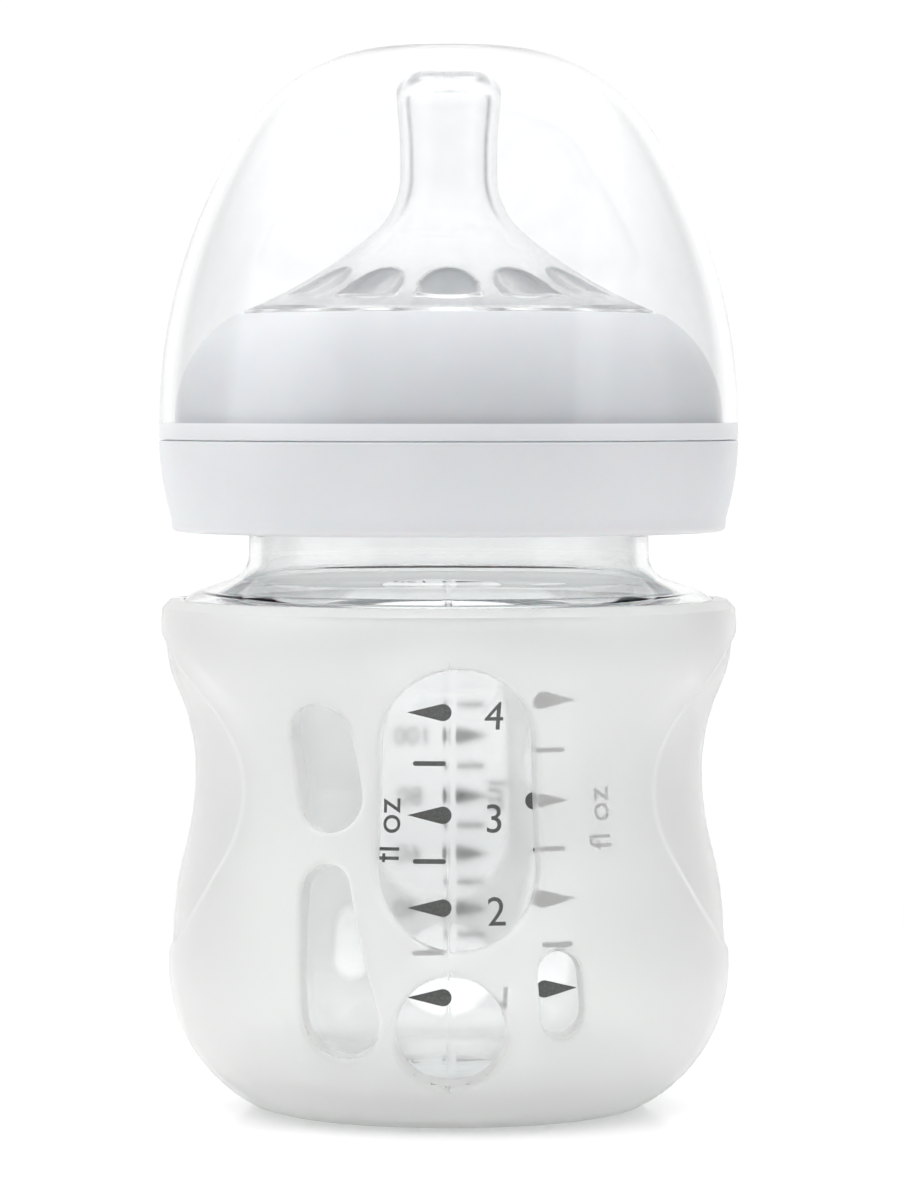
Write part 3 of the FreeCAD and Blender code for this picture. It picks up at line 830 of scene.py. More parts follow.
# ---------------------------------------------------------------------------------------------
# Glass bottle
# ---------------------------------------------------------------------------------------------
@dataclass
class GlassBottle:
    """The pressed glass bottle with its neck thread and its two mould seams."""

    finishes: Finishes
    curve: BodyCurve = field(default_factory=BodyCurve)
    base_glass: float = 3.8 * MM
    push_up: float = 1.2 * MM
    finish_step: float = 1.4 * MM
    finish_start: float = 72.0 * MM
    rim_round: float = 0.8 * MM
    step_round: float = 0.5 * MM
    bore_round: float = 2.6 * MM
    push_share: float = 0.86
    foot_share: float = 0.93
    thread_start: float = 78.0 * MM
    seam_width: float = 0.5 * MM
    seam_height: float = 0.05 * MM

    def section(self) -> list[Vector]:
        """The wall's outline, from under the base up the outside and down the bore.

        Returns:
            Radii and heights in order.
        """
        curve = self.curve
        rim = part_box("glass_bottle")[1].z
        inset = curve.glass_inset
        floor = inset + self.base_glass
        foot = curve.foot(inset)
        push_curve = (foot ** 2 + self.push_up ** 2) / (2.0 * self.push_up)
        wall = Section(Point(0.0, inset + self.push_up))
        wall.arc(Point(foot * self.push_share, inset + 0.15 * MM), push_curve, Side.RIGHT, 1.2 * MM)
        wall.line(Point(foot * self.foot_share, inset, 1.0 * MM))
        wall.line(*curve.climb(inset + 0.25 * MM, curve.bulge_height, inset))
        rounding_end, slope_end, neck_start = curve.shoulder(0.0)
        wall.arc(rounding_end, curve.shoulder_curve, Side.LEFT)
        wall.line(slope_end).arc(neck_start, curve.neck_curve, Side.RIGHT, 0.3 * MM)
        finish = curve.neck_radius + self.finish_step
        bore = curve.neck_radius - curve.glass_wall
        wall.line(Point(curve.neck_radius, self.finish_start - self.finish_step, self.step_round),
                  Point(finish, self.finish_start, self.step_round), Point(finish, rim, self.rim_round),
                  Point(bore, rim, self.rim_round))
        rounding_end, slope_end, neck_start = curve.shoulder(curve.glass_wall)
        wall.line(neck_start).arc(slope_end, curve.neck_curve + curve.glass_wall, Side.LEFT)
        wall.line(rounding_end)
        bulge = Point(curve.radius(curve.bulge_height, curve.bore_inset), curve.bulge_height)
        wall.arc(bulge, curve.shoulder_curve - curve.glass_wall, Side.RIGHT)
        wall.line(*reversed(curve.climb(floor, curve.bulge_height, curve.bore_inset)[:-1]))
        corner = curve.radius(floor, curve.bore_inset)
        wall.points[-1] = Point(corner, floor, self.bore_round)
        wall.line(Point(corner * 0.72, floor), Point(corner * 0.4, floor + 0.35 * MM),
                  Point(0.0, floor + 0.6 * MM))
        return wall.outline()

    def turns(self) -> list[float]:
        """Turns of the wall's facets, closer together at the two mould seams.

        Returns:
            The turns in order.
        """
        half = self.seam_width / self.curve.waist_radius / 2.0
        fine = [half * share for share in (-1.0, -0.5, 0.0, 0.5, 1.0)]
        coarse = [turn for turn in even_turns() if abs(math.sin(turn)) > half * 1.5]
        seams = [centre + offset for centre in (0.0, math.pi) for offset in fine]
        return sorted({turn % FULL_TURN for turn in coarse + seams})

    def with_seams(self, smooth: bpy.types.Object) -> bpy.types.Object:
        """Raise the mould's two seams on the wall's outside with a Geometry Nodes rule.

        Args:
            smooth: the turned wall, which is used up.

        Returns:
            The wall with its seams.
        """
        tree = NodeTree("mould_seam_rule")
        width = tree.size("Seam half width", "Float", self.seam_width / 2.0)
        height = tree.size("Seam height", "Float", self.seam_height)
        top = tree.size("Seam top", "Float", self.finish_start - self.finish_step)
        normal = tree.add("GeometryNodeInputNormal", {}).outputs[0]
        place = tree.add("GeometryNodeInputPosition", {}).outputs[0]
        parts = tree.add("ShaderNodeSeparateXYZ", {0: place}).outputs
        facing = tree.add("ShaderNodeVectorMath", {0: place, 1: normal}, operation="DOT_PRODUCT")
        outward = tree.math("GREATER_THAN", facing.outputs["Value"], 0.0)
        across = tree.math("DIVIDE", tree.math("ABSOLUTE", parts[0]), width)
        crest = tree.math("MAXIMUM", tree.math("SUBTRACT", 1.0, across), 0.0)
        below = tree.math("LESS_THAN", parts[2], top)
        above = tree.math("GREATER_THAN", parts[2], self.curve.glass_inset * 4.0)
        lift = tree.math("MULTIPLY", crest, outward, below, above, height)
        push = tree.add("ShaderNodeVectorMath", {0: normal, "Scale": lift}, operation="SCALE")
        moved = tree.add("GeometryNodeSetPosition", {
            "Geometry": tree.source.outputs[0], "Offset": push.outputs[0]})
        piece = tree.bake("glass_wall", smooth.data, moved.outputs[0], self.finishes.glass)
        bpy.data.objects.remove(smooth)
        return piece

    def haze_bore(self, wall: bpy.types.Mesh) -> None:
        """Give the bore its hazed finish, from the floor up to the shoulder.

        Args:
            wall: the bottle's mesh, which has its clear finish already.
        """
        wall.materials.append(self.finishes.bore)
        bottom = self.curve.glass_inset + self.base_glass * 2.0
        for face in wall.polygons:
            radius, height = math.hypot(face.center.x, face.center.y), face.center.z
            middle = self.curve.radius(height, self.curve.glass_inset + self.curve.glass_wall / 2.0)
            if bottom < height < self.curve.bulge_height and radius < middle:
                face.material_index = 1

    def build(self) -> None:
        """Make the bottle's pieces."""
        wall = self.with_seams(lathe("glass_blank", self.section(), self.turns()))
        self.haze_bore(wall.data)
        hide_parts("glass_bottle")
        settle(wall, Body.BOTTLE)
        thread = ThreadRidge(self.curve.neck_radius + self.finish_step, self.thread_start, Facing.OUTWARD)
        settle(thread.build("glass_neck_thread", self.finishes.glass), Body.BOTTLE)


# ---------------------------------------------------------------------------------------------
# Silicone sleeve
# ---------------------------------------------------------------------------------------------
def turn_gap(turn: float, other: float) -> float:
    """The smaller turn between two turns, with its sign."""
    return (turn - other + math.pi) % FULL_TURN - math.pi


@dataclass(frozen=True)
class SleeveWindow:
    """An opening made of two round ends joined by their tangents, on a plane turned about the axis."""

    turn: float
    low: tuple[float, float]
    high: tuple[float, float]
    low_radius: float
    high_radius: float

    def axis(self) -> tuple[Vector, Vector, float, float]:
        """The line through the two round ends.

        Returns:
            The lower end, the unit way up, the ends' distance and the tangents' slant.
        """
        low, high = Vector(self.low), Vector(self.high)
        way = high - low
        return low, way.normalized(), way.length, (self.low_radius - self.high_radius) / way.length

    def distance(self, x: float, z: float) -> float:
        """Distance from the opening's edge.

        Args:
            x: place across the window's plane.
            z: its height.

        Returns:
            The distance, negative inside the opening.
        """
        low, way, length, slant = self.axis()
        place = Vector((x, z)) - low
        along = place.dot(way)
        across = abs(place.x * way.y - place.y * way.x)
        cosine = math.sqrt(1.0 - slant * slant)
        key = cosine * along - slant * across
        if key < 0.0:
            return math.hypot(along, across) - self.low_radius
        if key > cosine * length:
            return math.hypot(along - length, across) - self.high_radius
        return cosine * across + slant * along - self.low_radius

    def outline(self, grow: float, spacing: float) -> list[Vector]:
        """Points round the opening.

        Args:
            grow: how far outside the edge the points lie.
            spacing: distance between them.

        Returns:
            Points on the window's own plane, in order.
        """
        low, way, length, slant = self.axis()
        lean = math.atan2(way.y, way.x)
        spread = math.acos(slant)
        points: list[Vector] = []
        ends = ((low, self.low_radius + grow, lean + spread, FULL_TURN - 2.0 * spread),
                (low + way * length, self.high_radius + grow, lean - spread, 2.0 * spread))
        for centre, radius, begin, sweep in ends:
            count = max(6, round(radius * sweep / spacing))
            for number in range(count + 1):
                turn = begin + sweep * number / count
                points.append(centre + Vector((math.cos(turn), math.sin(turn))) * radius)
        full: list[Vector] = []
        for here, ahead in zip(points, points[1:] + points[:1]):
            pieces = max(1, round((ahead - here).length / spacing))
            full += [here.lerp(ahead, n / pieces) for n in range(pieces)]
        return full


@dataclass(frozen=True)
class FingerGrip:
    """A shallow oval dip on one side of the sleeve, where fingers hold it."""

    turn: float
    height: float = 38.0 * MM
    half_width: float = 21.5 * MM
    half_height: float = 19.4 * MM
    depth: float = 0.45 * MM
    ramp: float = 1.5 * MM
    loop_room: float = 0.8 * MM

    def distance(self, across: float, height: float) -> float:
        """Rough distance inside the dip's edge, negative outside it."""
        reach = math.hypot(across / self.half_width, (height - self.height) / self.half_height)
        return (1.0 - reach) * min(self.half_width, self.half_height)

    def dip(self, across: float, height: float) -> float:
        """How deep the dip is at a place."""
        share = min(max(self.distance(across, height) / self.ramp, 0.0), 1.0)
        return self.depth * share * share * (3.0 - 2.0 * share)

    def near_edge(self, across: float, height: float) -> bool:
        """Whether a place is in the band at the dip's edge that its own loops fill."""
        half = self.ramp * 0.5
        return abs(self.distance(across, height) - half) < half + self.loop_room

    def outline(self, inside: float, spacing: float) -> list[Vector]:
        """Points at a distance inside the dip's edge.

        Args:
            inside: the distance, negative for outside.
            spacing: distance between the points.

        Returns:
            Their places across and up, in order.
        """
        scale = 1.0 - inside / min(self.half_width, self.half_height)
        count = round(FULL_TURN * self.half_width * scale / spacing)
        return [Vector((self.half_width * scale * math.cos(FULL_TURN * n / count),
                        self.height + self.half_height * scale * math.sin(FULL_TURN * n / count)))
                for n in range(count)]


class SheetPlan:
    """The sleeve's surface laid flat: points by turn, distance along the section and depth, and edges."""

    def __init__(self) -> None:
        """Start with an empty sheet."""
        self.points: list[tuple[float, float, float]] = []
        self.edges: list[tuple[int, int]] = []
        self.rims: list[tuple[int, int]] = []

    def add_loop(self, loop: list[tuple[float, float]], depth: float = 0.0, rim: bool = False) -> None:
        """Add a closed loop.

        Args:
            loop: each point's turn and distance along the section.
            depth: how far under the surface it lies.
            rim: whether the wall's front and back meet along it.
        """
        first = len(self.points)
        self.points.extend((turn % FULL_TURN, step, depth) for turn, step in loop)
        for number in range(len(loop)):
            here, ahead = first + number, first + (number + 1) % len(loop)
            if abs(self.points[here][0] - self.points[ahead][0]) < math.pi:
                self.edges.append((here, ahead))
            if rim:
                self.rims.append((here, ahead))


@dataclass
class SiliconeSleeve:
    """The stretchy sleeve: a thin wall with soft-edged windows and two finger grips."""

    finishes: Finishes
    curve: BodyCurve = field(default_factory=BodyCurve)
    drain_radius: float = 12.5 * MM
    rim_rise: float = 2.8 * MM
    rim_corner: float = 3.6 * MM
    rim_round: float = 0.7 * MM
    edge: float = 0.6 * MM
    column_turn: float = math.radians(3.0)
    row: float = 1.6 * MM
    clear: float = 0.55 * MM
    lowest_loop: float = 6.0 * MM
    window_spacing: float = 0.8 * MM
    grip_spacing: float = 1.2 * MM
    proud: float = 0.35 * MM
    proud_low: float = 20.0 * MM
    proud_low_ramp: float = 10.0 * MM
    proud_high: float = 57.0 * MM
    proud_high_ramp: float = 6.0 * MM
    windows: tuple[SleeveWindow, ...] = (
        SleeveWindow(2.0, (0.0, 31.4), (0.0, 45.0), 9.5, 9.0),
        SleeveWindow(0.5, (0.0, 12.1), (0.0, 12.3), 6.6, 6.6),
        SleeveWindow(-27.5, (0.5, 39.0), (-0.5, 45.8), 4.0, 4.0),
        SleeveWindow(-23.5, (0.7, 13.6), (-1.4, 28.4), 4.8, 3.1),
        SleeveWindow(23.0, (0.2, 14.3), (-0.2, 18.9), 2.8, 2.8),
    )

    def __post_init__(self) -> None:
        """Set the windows in metres and radians, front and rear, and sample the section."""
        self.openings = [
            SleeveWindow(math.radians(w.turn) + half, (w.low[0] * MM, w.low[1] * MM),
                         (w.high[0] * MM, w.high[1] * MM), w.low_radius * MM, w.high_radius * MM)
            for half in (0.0, math.pi) for w in self.windows]
        self.grips = [FingerGrip(math.pi / 2.0), FingerGrip(-math.pi / 2.0)]
        curve = self.curve
        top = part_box("silicone_sleeve")[1].z
        foot = curve.foot(0.0)
        outer = Section(Point(self.drain_radius, 0.0))
        outer.line(*[Point(self.drain_radius + (foot - self.drain_radius) * number / 8.0, 0.0)
                     for number in range(1, 8)])
        outer.line(*curve.climb(0.1 * MM, curve.bulge_height, 0.0, 0.5 * MM))
        inner_rim = curve.shoulder_centre + math.sqrt(
            (curve.shoulder_curve + curve.sleeve_gap) ** 2 - self.rim_rise ** 2)
        outer_rim = inner_rim + curve.sleeve_wall * 1.2
        outer.arc(Point(outer_rim, top, self.rim_round), self.rim_corner, Side.LEFT, 0.3 * MM)
        outer.line(Point((outer_rim + inner_rim) / 2.0, top), Point(inner_rim, top))
        self.profile = outer.outline()
        self.steps = [0.0]
        for here, ahead in zip(self.profile, self.profile[1:]):
            self.steps.append(self.steps[-1] + (ahead - here).length)
        self.bulge_step = self.step_at(curve.bulge_height)

    def step_at(self, height: float) -> float:
        """Distance along the section to a height.

        Args:
            height: a height between the base and the bulge.

        Returns:
            The distance from the drain hole's edge.
        """
        for number, (here, ahead) in enumerate(zip(self.profile, self.profile[1:])):
            if here.y <= height <= ahead.y and ahead.y > here.y:
                share = (height - here.y) / (ahead.y - here.y)
                return self.steps[number] + (self.steps[number + 1] - self.steps[number]) * share
        return self.steps[-1]

    def place_at(self, step: float) -> tuple[Vector, Vector]:
        """The section at a distance along it.

        Args:
            step: the distance from the drain hole's edge.

        Returns:
            The point and its outward normal.
        """
        step = min(max(step, 0.0), self.steps[-1])
        number = 0
        while number < len(self.steps) - 2 and self.steps[number + 1] < step:
            number += 1
        span = self.steps[number + 1] - self.steps[number]
        share = (step - self.steps[number]) / span if span else 0.0
        way = self.profile[number + 1] - self.profile[number]
        normals = []
        for index in (number, number + 1):
            before = self.profile[max(index - 1, 0)]
            after = self.profile[min(index + 1, len(self.profile) - 1)]
            tangent = (after - before).normalized()
            normals.append(Vector((tangent.y, -tangent.x)))
        normal = normals[0].lerp(normals[1], share).normalized()
        return self.profile[number] + way * share, normal

    def flat_to_sheet(self, turn: float, flat: Vector) -> tuple[float, float]:
        """Turn round the axis and distance along the section of a place on a window's plane."""
        radius = self.curve.radius(flat.y)
        return turn + math.asin(flat.x / radius), self.step_at(flat.y)

    def gap_to_windows(self, turn: float, height: float) -> float:
        """Distance from a place to the nearest window's edge.

        Args:
            turn: the place's turn round the axis.
            height: its height.

        Returns:
            The distance, negative inside a window.
        """
        nearest = 1.0
        radius = self.curve.radius(height)
        for window in self.openings:
            if math.cos(turn - window.turn) > 0.0:
                nearest = min(nearest, window.distance(radius * math.sin(turn - window.turn), height))
        return nearest

    def grip_dip(self, turn: float, height: float) -> float:
        """Depth of the finger grips at a place.

        Args:
            turn: the place's turn round the axis.
            height: its height.

        Returns:
            The depth, less what the wall stands proud beside the grips.
        """
        below = (height - self.proud_low) / self.proud_low_ramp
        above = (self.proud_high - height) / self.proud_high_ramp
        fade = min(max(below, 0.0), max(above, 0.0), 1.0)
        dips = 0.0
        for grip in self.grips:
            if math.cos(turn - grip.turn) > 0.0:
                dips = max(dips, grip.dip(self.curve.radius(height) * turn_gap(turn, grip.turn), height))
        return dips - self.proud * fade * fade * (3.0 - 2.0 * fade)

    def plan_loops(self, plan: SheetPlan) -> None:
        """Lay out the windows' rounded edges and the finger grips' ramps.

        Args:
            plan: the sheet that they are added to.
        """
        for window in self.openings:
            for quarter in (0.0, 0.2, 0.42, 0.68, 1.0):
                bend = quarter * math.pi / 2.0
                loop = window.outline(self.edge * (1.0 - math.cos(bend)), self.window_spacing)
                plan.add_loop([self.flat_to_sheet(window.turn, flat) for flat in loop],
                              self.edge * (1.0 - math.sin(bend)), rim=quarter == 0.0)
        for grip in self.grips:
            for inside in (-0.1, 0.15, 0.4, 0.65, 0.9, 1.15):
                loop = grip.outline(inside * grip.ramp, self.grip_spacing)
                plan.add_loop([(grip.turn + flat.x / self.curve.radius(flat.y), self.step_at(flat.y))
                               for flat in loop])

    def is_clear(self, turn: float, height: float) -> bool:
        """Whether a place is clear of the windows' edges and of the grips' own loops."""
        if self.gap_to_windows(turn, height) < self.edge + self.clear:
            return False
        radius = self.curve.radius(height)
        return not any(grip.near_edge(radius * turn_gap(turn, grip.turn), height) for grip in self.grips)

    def plan_grid(self, plan: SheetPlan) -> None:
        """Fill the rest of the sheet with an even grid.

        Args:
            plan: the sheet that its points are added to.
        """
        rows = math.ceil(self.steps[-1] / self.row)
        columns = round(FULL_TURN / self.column_turn)
        for row in range(rows + 1):
            step = self.steps[-1] * row / rows
            height = self.place_at(step)[0].y
            for column in range(columns + 1):
                turn = FULL_TURN * column / columns
                border = row in (0, rows) or column in (0, columns)
                if border or not self.lowest_loop < step < self.bulge_step or self.is_clear(turn, height):
                    plan.points.append((turn, step, 0.0))

    def wall_at(self, turn: float, step: float, depth: float) -> tuple[Vector, Vector]:
        """The wall's front and back at a place on the sheet.

        Args:
            turn: the place's turn round the axis.
            step: its distance along the section.
            depth: how far under the surface it lies.

        Returns:
            Radius and height of the front, and of the back.
        """
        curve = self.curve
        place, normal = self.place_at(step)
        if step <= self.bulge_step:
            relief = self.grip_dip(turn, place.y)
            back = place - normal * curve.sleeve_wall
            back.y = max(back.y, curve.sleeve_wall)
        else:
            relief = 0.0
            share = (step - self.bulge_step) / (self.steps[-1] - self.bulge_step)
            rounding = curve.shoulder_curve + curve.sleeve_gap
            lean = math.asin(self.rim_rise / rounding) * share
            back = (Vector((curve.shoulder_centre, curve.bulge_height))
                    + Vector((math.cos(lean), math.sin(lean))) * rounding)
        return place - normal * (depth + relief), back

    def build_mesh(self) -> bmesh.types.BMesh:
        """Triangulate the sheet round its windows and give it its wall.

        Returns:
            The closed wall.
        """
        plan = SheetPlan()
        self.plan_loops(plan)
        self.plan_grid(plan)
        scale = self.curve.waist_radius
        flats = [Vector((turn * scale, step)) for turn, step, _ in plan.points]
        vertices, _, faces, originals = delaunay_2d_cdt(flats, plan.edges, [], 0, 1e-9, True)[:4]
        moved = {old: new for new, ids in enumerate(originals) for old in ids}
        shape = bmesh.new()
        outer, inner = [], []
        for flat, ids in zip(vertices, originals):
            turn = flat.x / scale
            front, back = self.wall_at(turn, flat.y, plan.points[ids[0]][2] if ids else 0.0)
            outer.append(shape.verts.new(around(front.x, turn, front.y)))
            inner.append(shape.verts.new(around(back.x, turn, back.y)))
        for face in faces:
            middle = sum((vertices[number] for number in face), Vector((0.0, 0.0))) / len(face)
            turn, step = middle.x / scale, middle.y
            if step < self.bulge_step and self.gap_to_windows(turn, self.place_at(step)[0].y) < -SPECK:
                continue
            shape.faces.new([outer[number] for number in face])
            shape.faces.new([inner[number] for number in reversed(face)])
        for here, ahead in plan.rims:
            here, ahead = moved[here], moved[ahead]
            shape.faces.new((outer[here], outer[ahead], inner[ahead], inner[here]))
        hem = sorted((flat.x, number) for number, flat in enumerate(vertices) if flat.y < 1e-9)
        for (_, here), (_, ahead) in zip(hem, hem[1:]):
            shape.faces.new((outer[here], inner[here], inner[ahead], outer[ahead]))
        bmesh.ops.remove_doubles(shape, verts=shape.verts, dist=2.0 * SPECK)
        bmesh.ops.dissolve_degenerate(shape, dist=SPECK, edges=shape.edges)
        return shape

    def build(self) -> None:
        """Make the sleeve."""
        piece = new_piece("sleeve_wall", self.build_mesh())
        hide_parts("silicone_sleeve")
        settle(piece, Body.BOTTLE, self.finishes.sleeve)


# ---------------------------------------------------------------------------------------------
# Screw ring
# ---------------------------------------------------------------------------------------------
@dataclass
class ScrewRing:
    """The white ring: lip, shoulder, flange, skirt and the threaded wall inside."""

    finishes: Finishes
    flange: float = 80.0 * MM
    lip: float = 3.0 * MM
    skirt_radius: float = 33.2 * MM
    skirt_curve: float = 34.0 * MM
    collar_radius: float = 32.8 * MM
    collar_rise: float = 2.5 * MM
    lip_hole: float = 24.2 * MM
    lip_flat: float = 1.4 * MM
    bore: float = 27.7 * MM
    thread_wall: float = 1.7 * MM
    thread_wall_rise: float = 2.4 * MM
    hollow_top: float = 84.0 * MM
    wall: float = 1.8 * MM
    edge_round: float = 0.3 * MM
    inner_round: float = 0.4 * MM
    skirt_round: float = 0.9 * MM
    lip_round: float = 1.0 * MM
    thread_start: float = 75.5 * MM

    def section(self) -> list[Vector]:
        """The ring's outline.

        Returns:
            Radii and heights in order.
        """
        low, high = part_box("screw_ring")
        collar_top = self.flange + self.collar_rise
        lip_edge = self.lip_hole + self.lip_flat
        lip_bottom = high.z - self.lip
        thread_bottom = low.z + self.thread_wall_rise
        thread_back = self.bore + self.thread_wall
        across, up = self.collar_radius - lip_edge, high.z - collar_top
        shoulder = (across ** 2 + up ** 2) / (2.0 * across)
        inside = self.collar_radius - self.wall
        ring = Section(Point(self.lip_hole, lip_bottom, self.edge_round))
        ring.line(Point(self.bore, lip_bottom, self.edge_round),
                  Point(self.bore, thread_bottom, self.inner_round),
                  Point(thread_back, thread_bottom, self.inner_round),
                  Point(thread_back, self.hollow_top, self.inner_round),
                  Point(inside, self.hollow_top, self.inner_round), Point(inside, low.z, self.edge_round),
                  Point(self.skirt_radius, low.z, self.skirt_round),
                  Point(self.skirt_radius + 0.05 * MM, low.z + 1.6 * MM))
        ring.arc(Point(high.x, self.flange, 0.28 * MM), self.skirt_curve, Side.LEFT)
        ring.line(Point(self.collar_radius, self.flange, 0.25 * MM), Point(self.collar_radius, collar_top))
        ring.arc(Point(lip_edge, high.z, self.lip_round), shoulder, Side.LEFT)
        ring.line(Point(self.lip_hole, high.z, self.edge_round))
        return ring.outline()

    def build(self) -> None:
        """Make the ring and its thread."""
        piece = lathe("ring_shell", self.section(), even_turns())
        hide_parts("screw_ring")
        settle(piece, Body.RING, self.finishes.ring)
        thread = ThreadRidge(self.bore, self.thread_start, Facing.INWARD)
        settle(thread.build("ring_inner_thread", self.finishes.ring), Body.RING)


# ---------------------------------------------------------------------------------------------
# Teat
# ---------------------------------------------------------------------------------------------
@dataclass
class Teat:
    """The clear teat: flange, groove, flared cone with petals inside, shaft and tip."""

    finishes: Finishes
    wall: float = 1.5 * MM
    flange_inner: float = 22.0 * MM
    groove_radius: float = 24.0 * MM
    flange_thickness: float = 1.6 * MM
    cone_bottom: float = 95.1 * MM
    cone_radius: float = 24.5 * MM
    cone_curve: float = 57.5 * MM
    cone_top_radius: float = 9.0 * MM
    throat_curve: float = 9.0 * MM
    shaft_radius: float = 5.8 * MM
    shaft_start: float = 111.6 * MM
    shaft_end: float = 115.5 * MM
    tip_swell: float = 0.5 * MM
    tip_start: float = 121.6 * MM
    tip_flat: float = 3.6 * MM
    feed_hole: float = 0.35 * MM
    petals: int = 12
    petal_low: float = 19.6 * MM
    petal_high: float = 13.4 * MM
    petal_depth: float = 1.0 * MM
    petal_half_width: float = 3.8 * MM
    petal_foot_slope: float = 6.0
    petal_swell: float = 0.6
    petal_facing: float = -0.35
    facets: int = 360

    @property
    def lean(self) -> float:
        """Turn of the throat's arc, from the shaft to where it meets the cone."""
        return math.acos(1.0 - (self.cone_top_radius - self.shaft_radius) / self.throat_curve)

    def throat(self, extra: float) -> Point:
        """End of the throat's arc nearer the cone, with the wall's thickness added to its radius."""
        reach = self.throat_curve + extra
        return Point(self.shaft_radius + self.throat_curve - reach * math.cos(self.lean),
                     self.shaft_start - reach * math.sin(self.lean))

    def cone_height(self, radius: float, extra: float) -> float:
        """Height of the cone's surface.

        Args:
            radius: distance from the axis.
            extra: how far inside the outer surface.

        Returns:
            The height.
        """
        reach = self.cone_curve - self.throat_curve
        across = self.shaft_radius + self.throat_curve + reach * math.cos(self.lean)
        up = self.shaft_start + reach * math.sin(self.lean)
        return up - math.sqrt((self.cone_curve + extra) ** 2 - (across - radius) ** 2)

    def section(self) -> list[Vector]:
        """The teat's outline.

        Returns:
            Radii and heights in order.
        """
        low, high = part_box("teat")
        inner_shaft = self.shaft_radius - self.wall
        inner_top = high.z - self.wall
        tip = self.shaft_radius + self.tip_swell
        flange_top = low.z + self.flange_thickness
        teat = Section(Point(self.feed_hole, inner_top, 0.1 * MM))
        teat.line(Point(self.tip_flat - 0.3 * MM, inner_top, 0.8 * MM),
                  Point(tip - self.wall, self.tip_start, 1.0 * MM),
                  Point(inner_shaft, self.shaft_end, 2.0 * MM), Point(inner_shaft, self.shaft_start))
        teat.arc(self.throat(self.wall), self.throat_curve + self.wall, Side.LEFT, 0.4 * MM)
        teat.arc(Point(self.flange_inner, self.cone_height(self.flange_inner, self.wall)),
                 self.cone_curve + self.wall, Side.LEFT, 0.22 * MM)
        teat.line(Point(self.flange_inner, low.z, 0.3 * MM), Point(high.x, low.z, 0.3 * MM),
                  Point(high.x, flange_top, 0.3 * MM), Point(self.groove_radius, flange_top, 0.2 * MM),
                  Point(self.groove_radius, self.cone_bottom, 0.2 * MM),
                  Point(self.cone_radius, self.cone_bottom),
                  Point(self.cone_radius, self.cone_height(self.cone_radius, 0.0)))
        teat.arc(self.throat(0.0), self.cone_curve, Side.RIGHT, 0.5 * MM)
        teat.arc(Point(self.shaft_radius, self.shaft_start), self.throat_curve, Side.RIGHT, 0.4 * MM)
        teat.line(Point(self.shaft_radius, self.shaft_end, 2.0 * MM), Point(tip, self.tip_start))
        teat.arc(Point(self.tip_flat, high.z), (tip - self.tip_flat) * 1.03, Side.LEFT, 0.25 * MM)
        teat.line(Point(self.feed_hole, high.z, 0.1 * MM))
        return teat.outline()

    def with_petals(self, smooth: bpy.types.Object) -> bpy.types.Object:
        """Press the petals into the cone's inner wall with a Geometry Nodes rule.

        Args:
            smooth: the turned teat, which is used up.

        Returns:
            The teat with its petals.
        """
        tree = NodeTree("petal_rule")
        sector = tree.size("Petal turn", "Float", FULL_TURN / self.petals)
        depth = tree.size("Petal depth", "Float", self.petal_depth)
        half_width = tree.size("Petal half width", "Float", self.petal_half_width)
        low = tree.size("Petal outer radius", "Float", self.petal_low)
        high = tree.size("Petal inner radius", "Float", self.petal_high)
        place = tree.add("GeometryNodeInputPosition", {}).outputs[0]
        parts = tree.add("ShaderNodeSeparateXYZ", {0: place}).outputs
        normal = tree.add("GeometryNodeInputNormal", {}).outputs[0]
        upward = tree.add("ShaderNodeSeparateXYZ", {0: normal}).outputs[2]
        squares = [tree.math("POWER", parts[axis], 2.0) for axis in (0, 1)]
        radius = tree.math("SQRT", tree.math("ADD", *squares))
        turn = tree.math("ARCTAN2", parts[0], tree.math("MULTIPLY", parts[1], -1.0))
        folded = tree.math("PINGPONG", tree.math("ADD", turn, FULL_TURN), tree.math("MULTIPLY", sector, 0.5))
        across = tree.math("DIVIDE", tree.math("MULTIPLY", folded, radius), half_width)
        along = tree.math("DIVIDE", tree.math("SUBTRACT", radius, high), tree.math("SUBTRACT", low, high))
        from_foot = tree.math("SUBTRACT", 1.0, along)
        reach = tree.math("ADD", tree.math("POWER", across, 2.0), tree.math("POWER", from_foot, 2.0))
        arch = tree.math("MAXIMUM", tree.math("SUBTRACT", 1.0, reach), 0.0)
        foot = tree.math("MULTIPLY", tree.math("MAXIMUM", from_foot, 0.0), self.petal_foot_slope)
        swell = tree.math("MULTIPLY", arch, tree.math("MINIMUM", foot, 1.0))
        bump = tree.math("MULTIPLY", tree.math("POWER", swell, self.petal_swell), depth)
        facing_in = tree.math("LESS_THAN", upward, self.petal_facing)
        shaft_clear = tree.math("GREATER_THAN", radius, high)
        cone_only = tree.math("GREATER_THAN", parts[2], self.cone_bottom - 0.2 * MM)
        lift = tree.math("MULTIPLY", bump, facing_in, shaft_clear, cone_only)
        push = tree.add("ShaderNodeVectorMath", {0: normal, "Scale": lift}, operation="SCALE")
        moved = tree.add("GeometryNodeSetPosition", {
            "Geometry": tree.source.outputs[0], "Offset": push.outputs[0]})
        piece = tree.bake("teat_wall", smooth.data, moved.outputs[0], self.finishes.teat)
        bpy.data.objects.remove(smooth)
        return piece

    def build(self) -> None:
        """Make the teat."""
        piece = self.with_petals(lathe("teat_blank", self.section(), even_turns(self.facets)))
        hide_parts("teat")
        settle(piece, Body.TEAT)


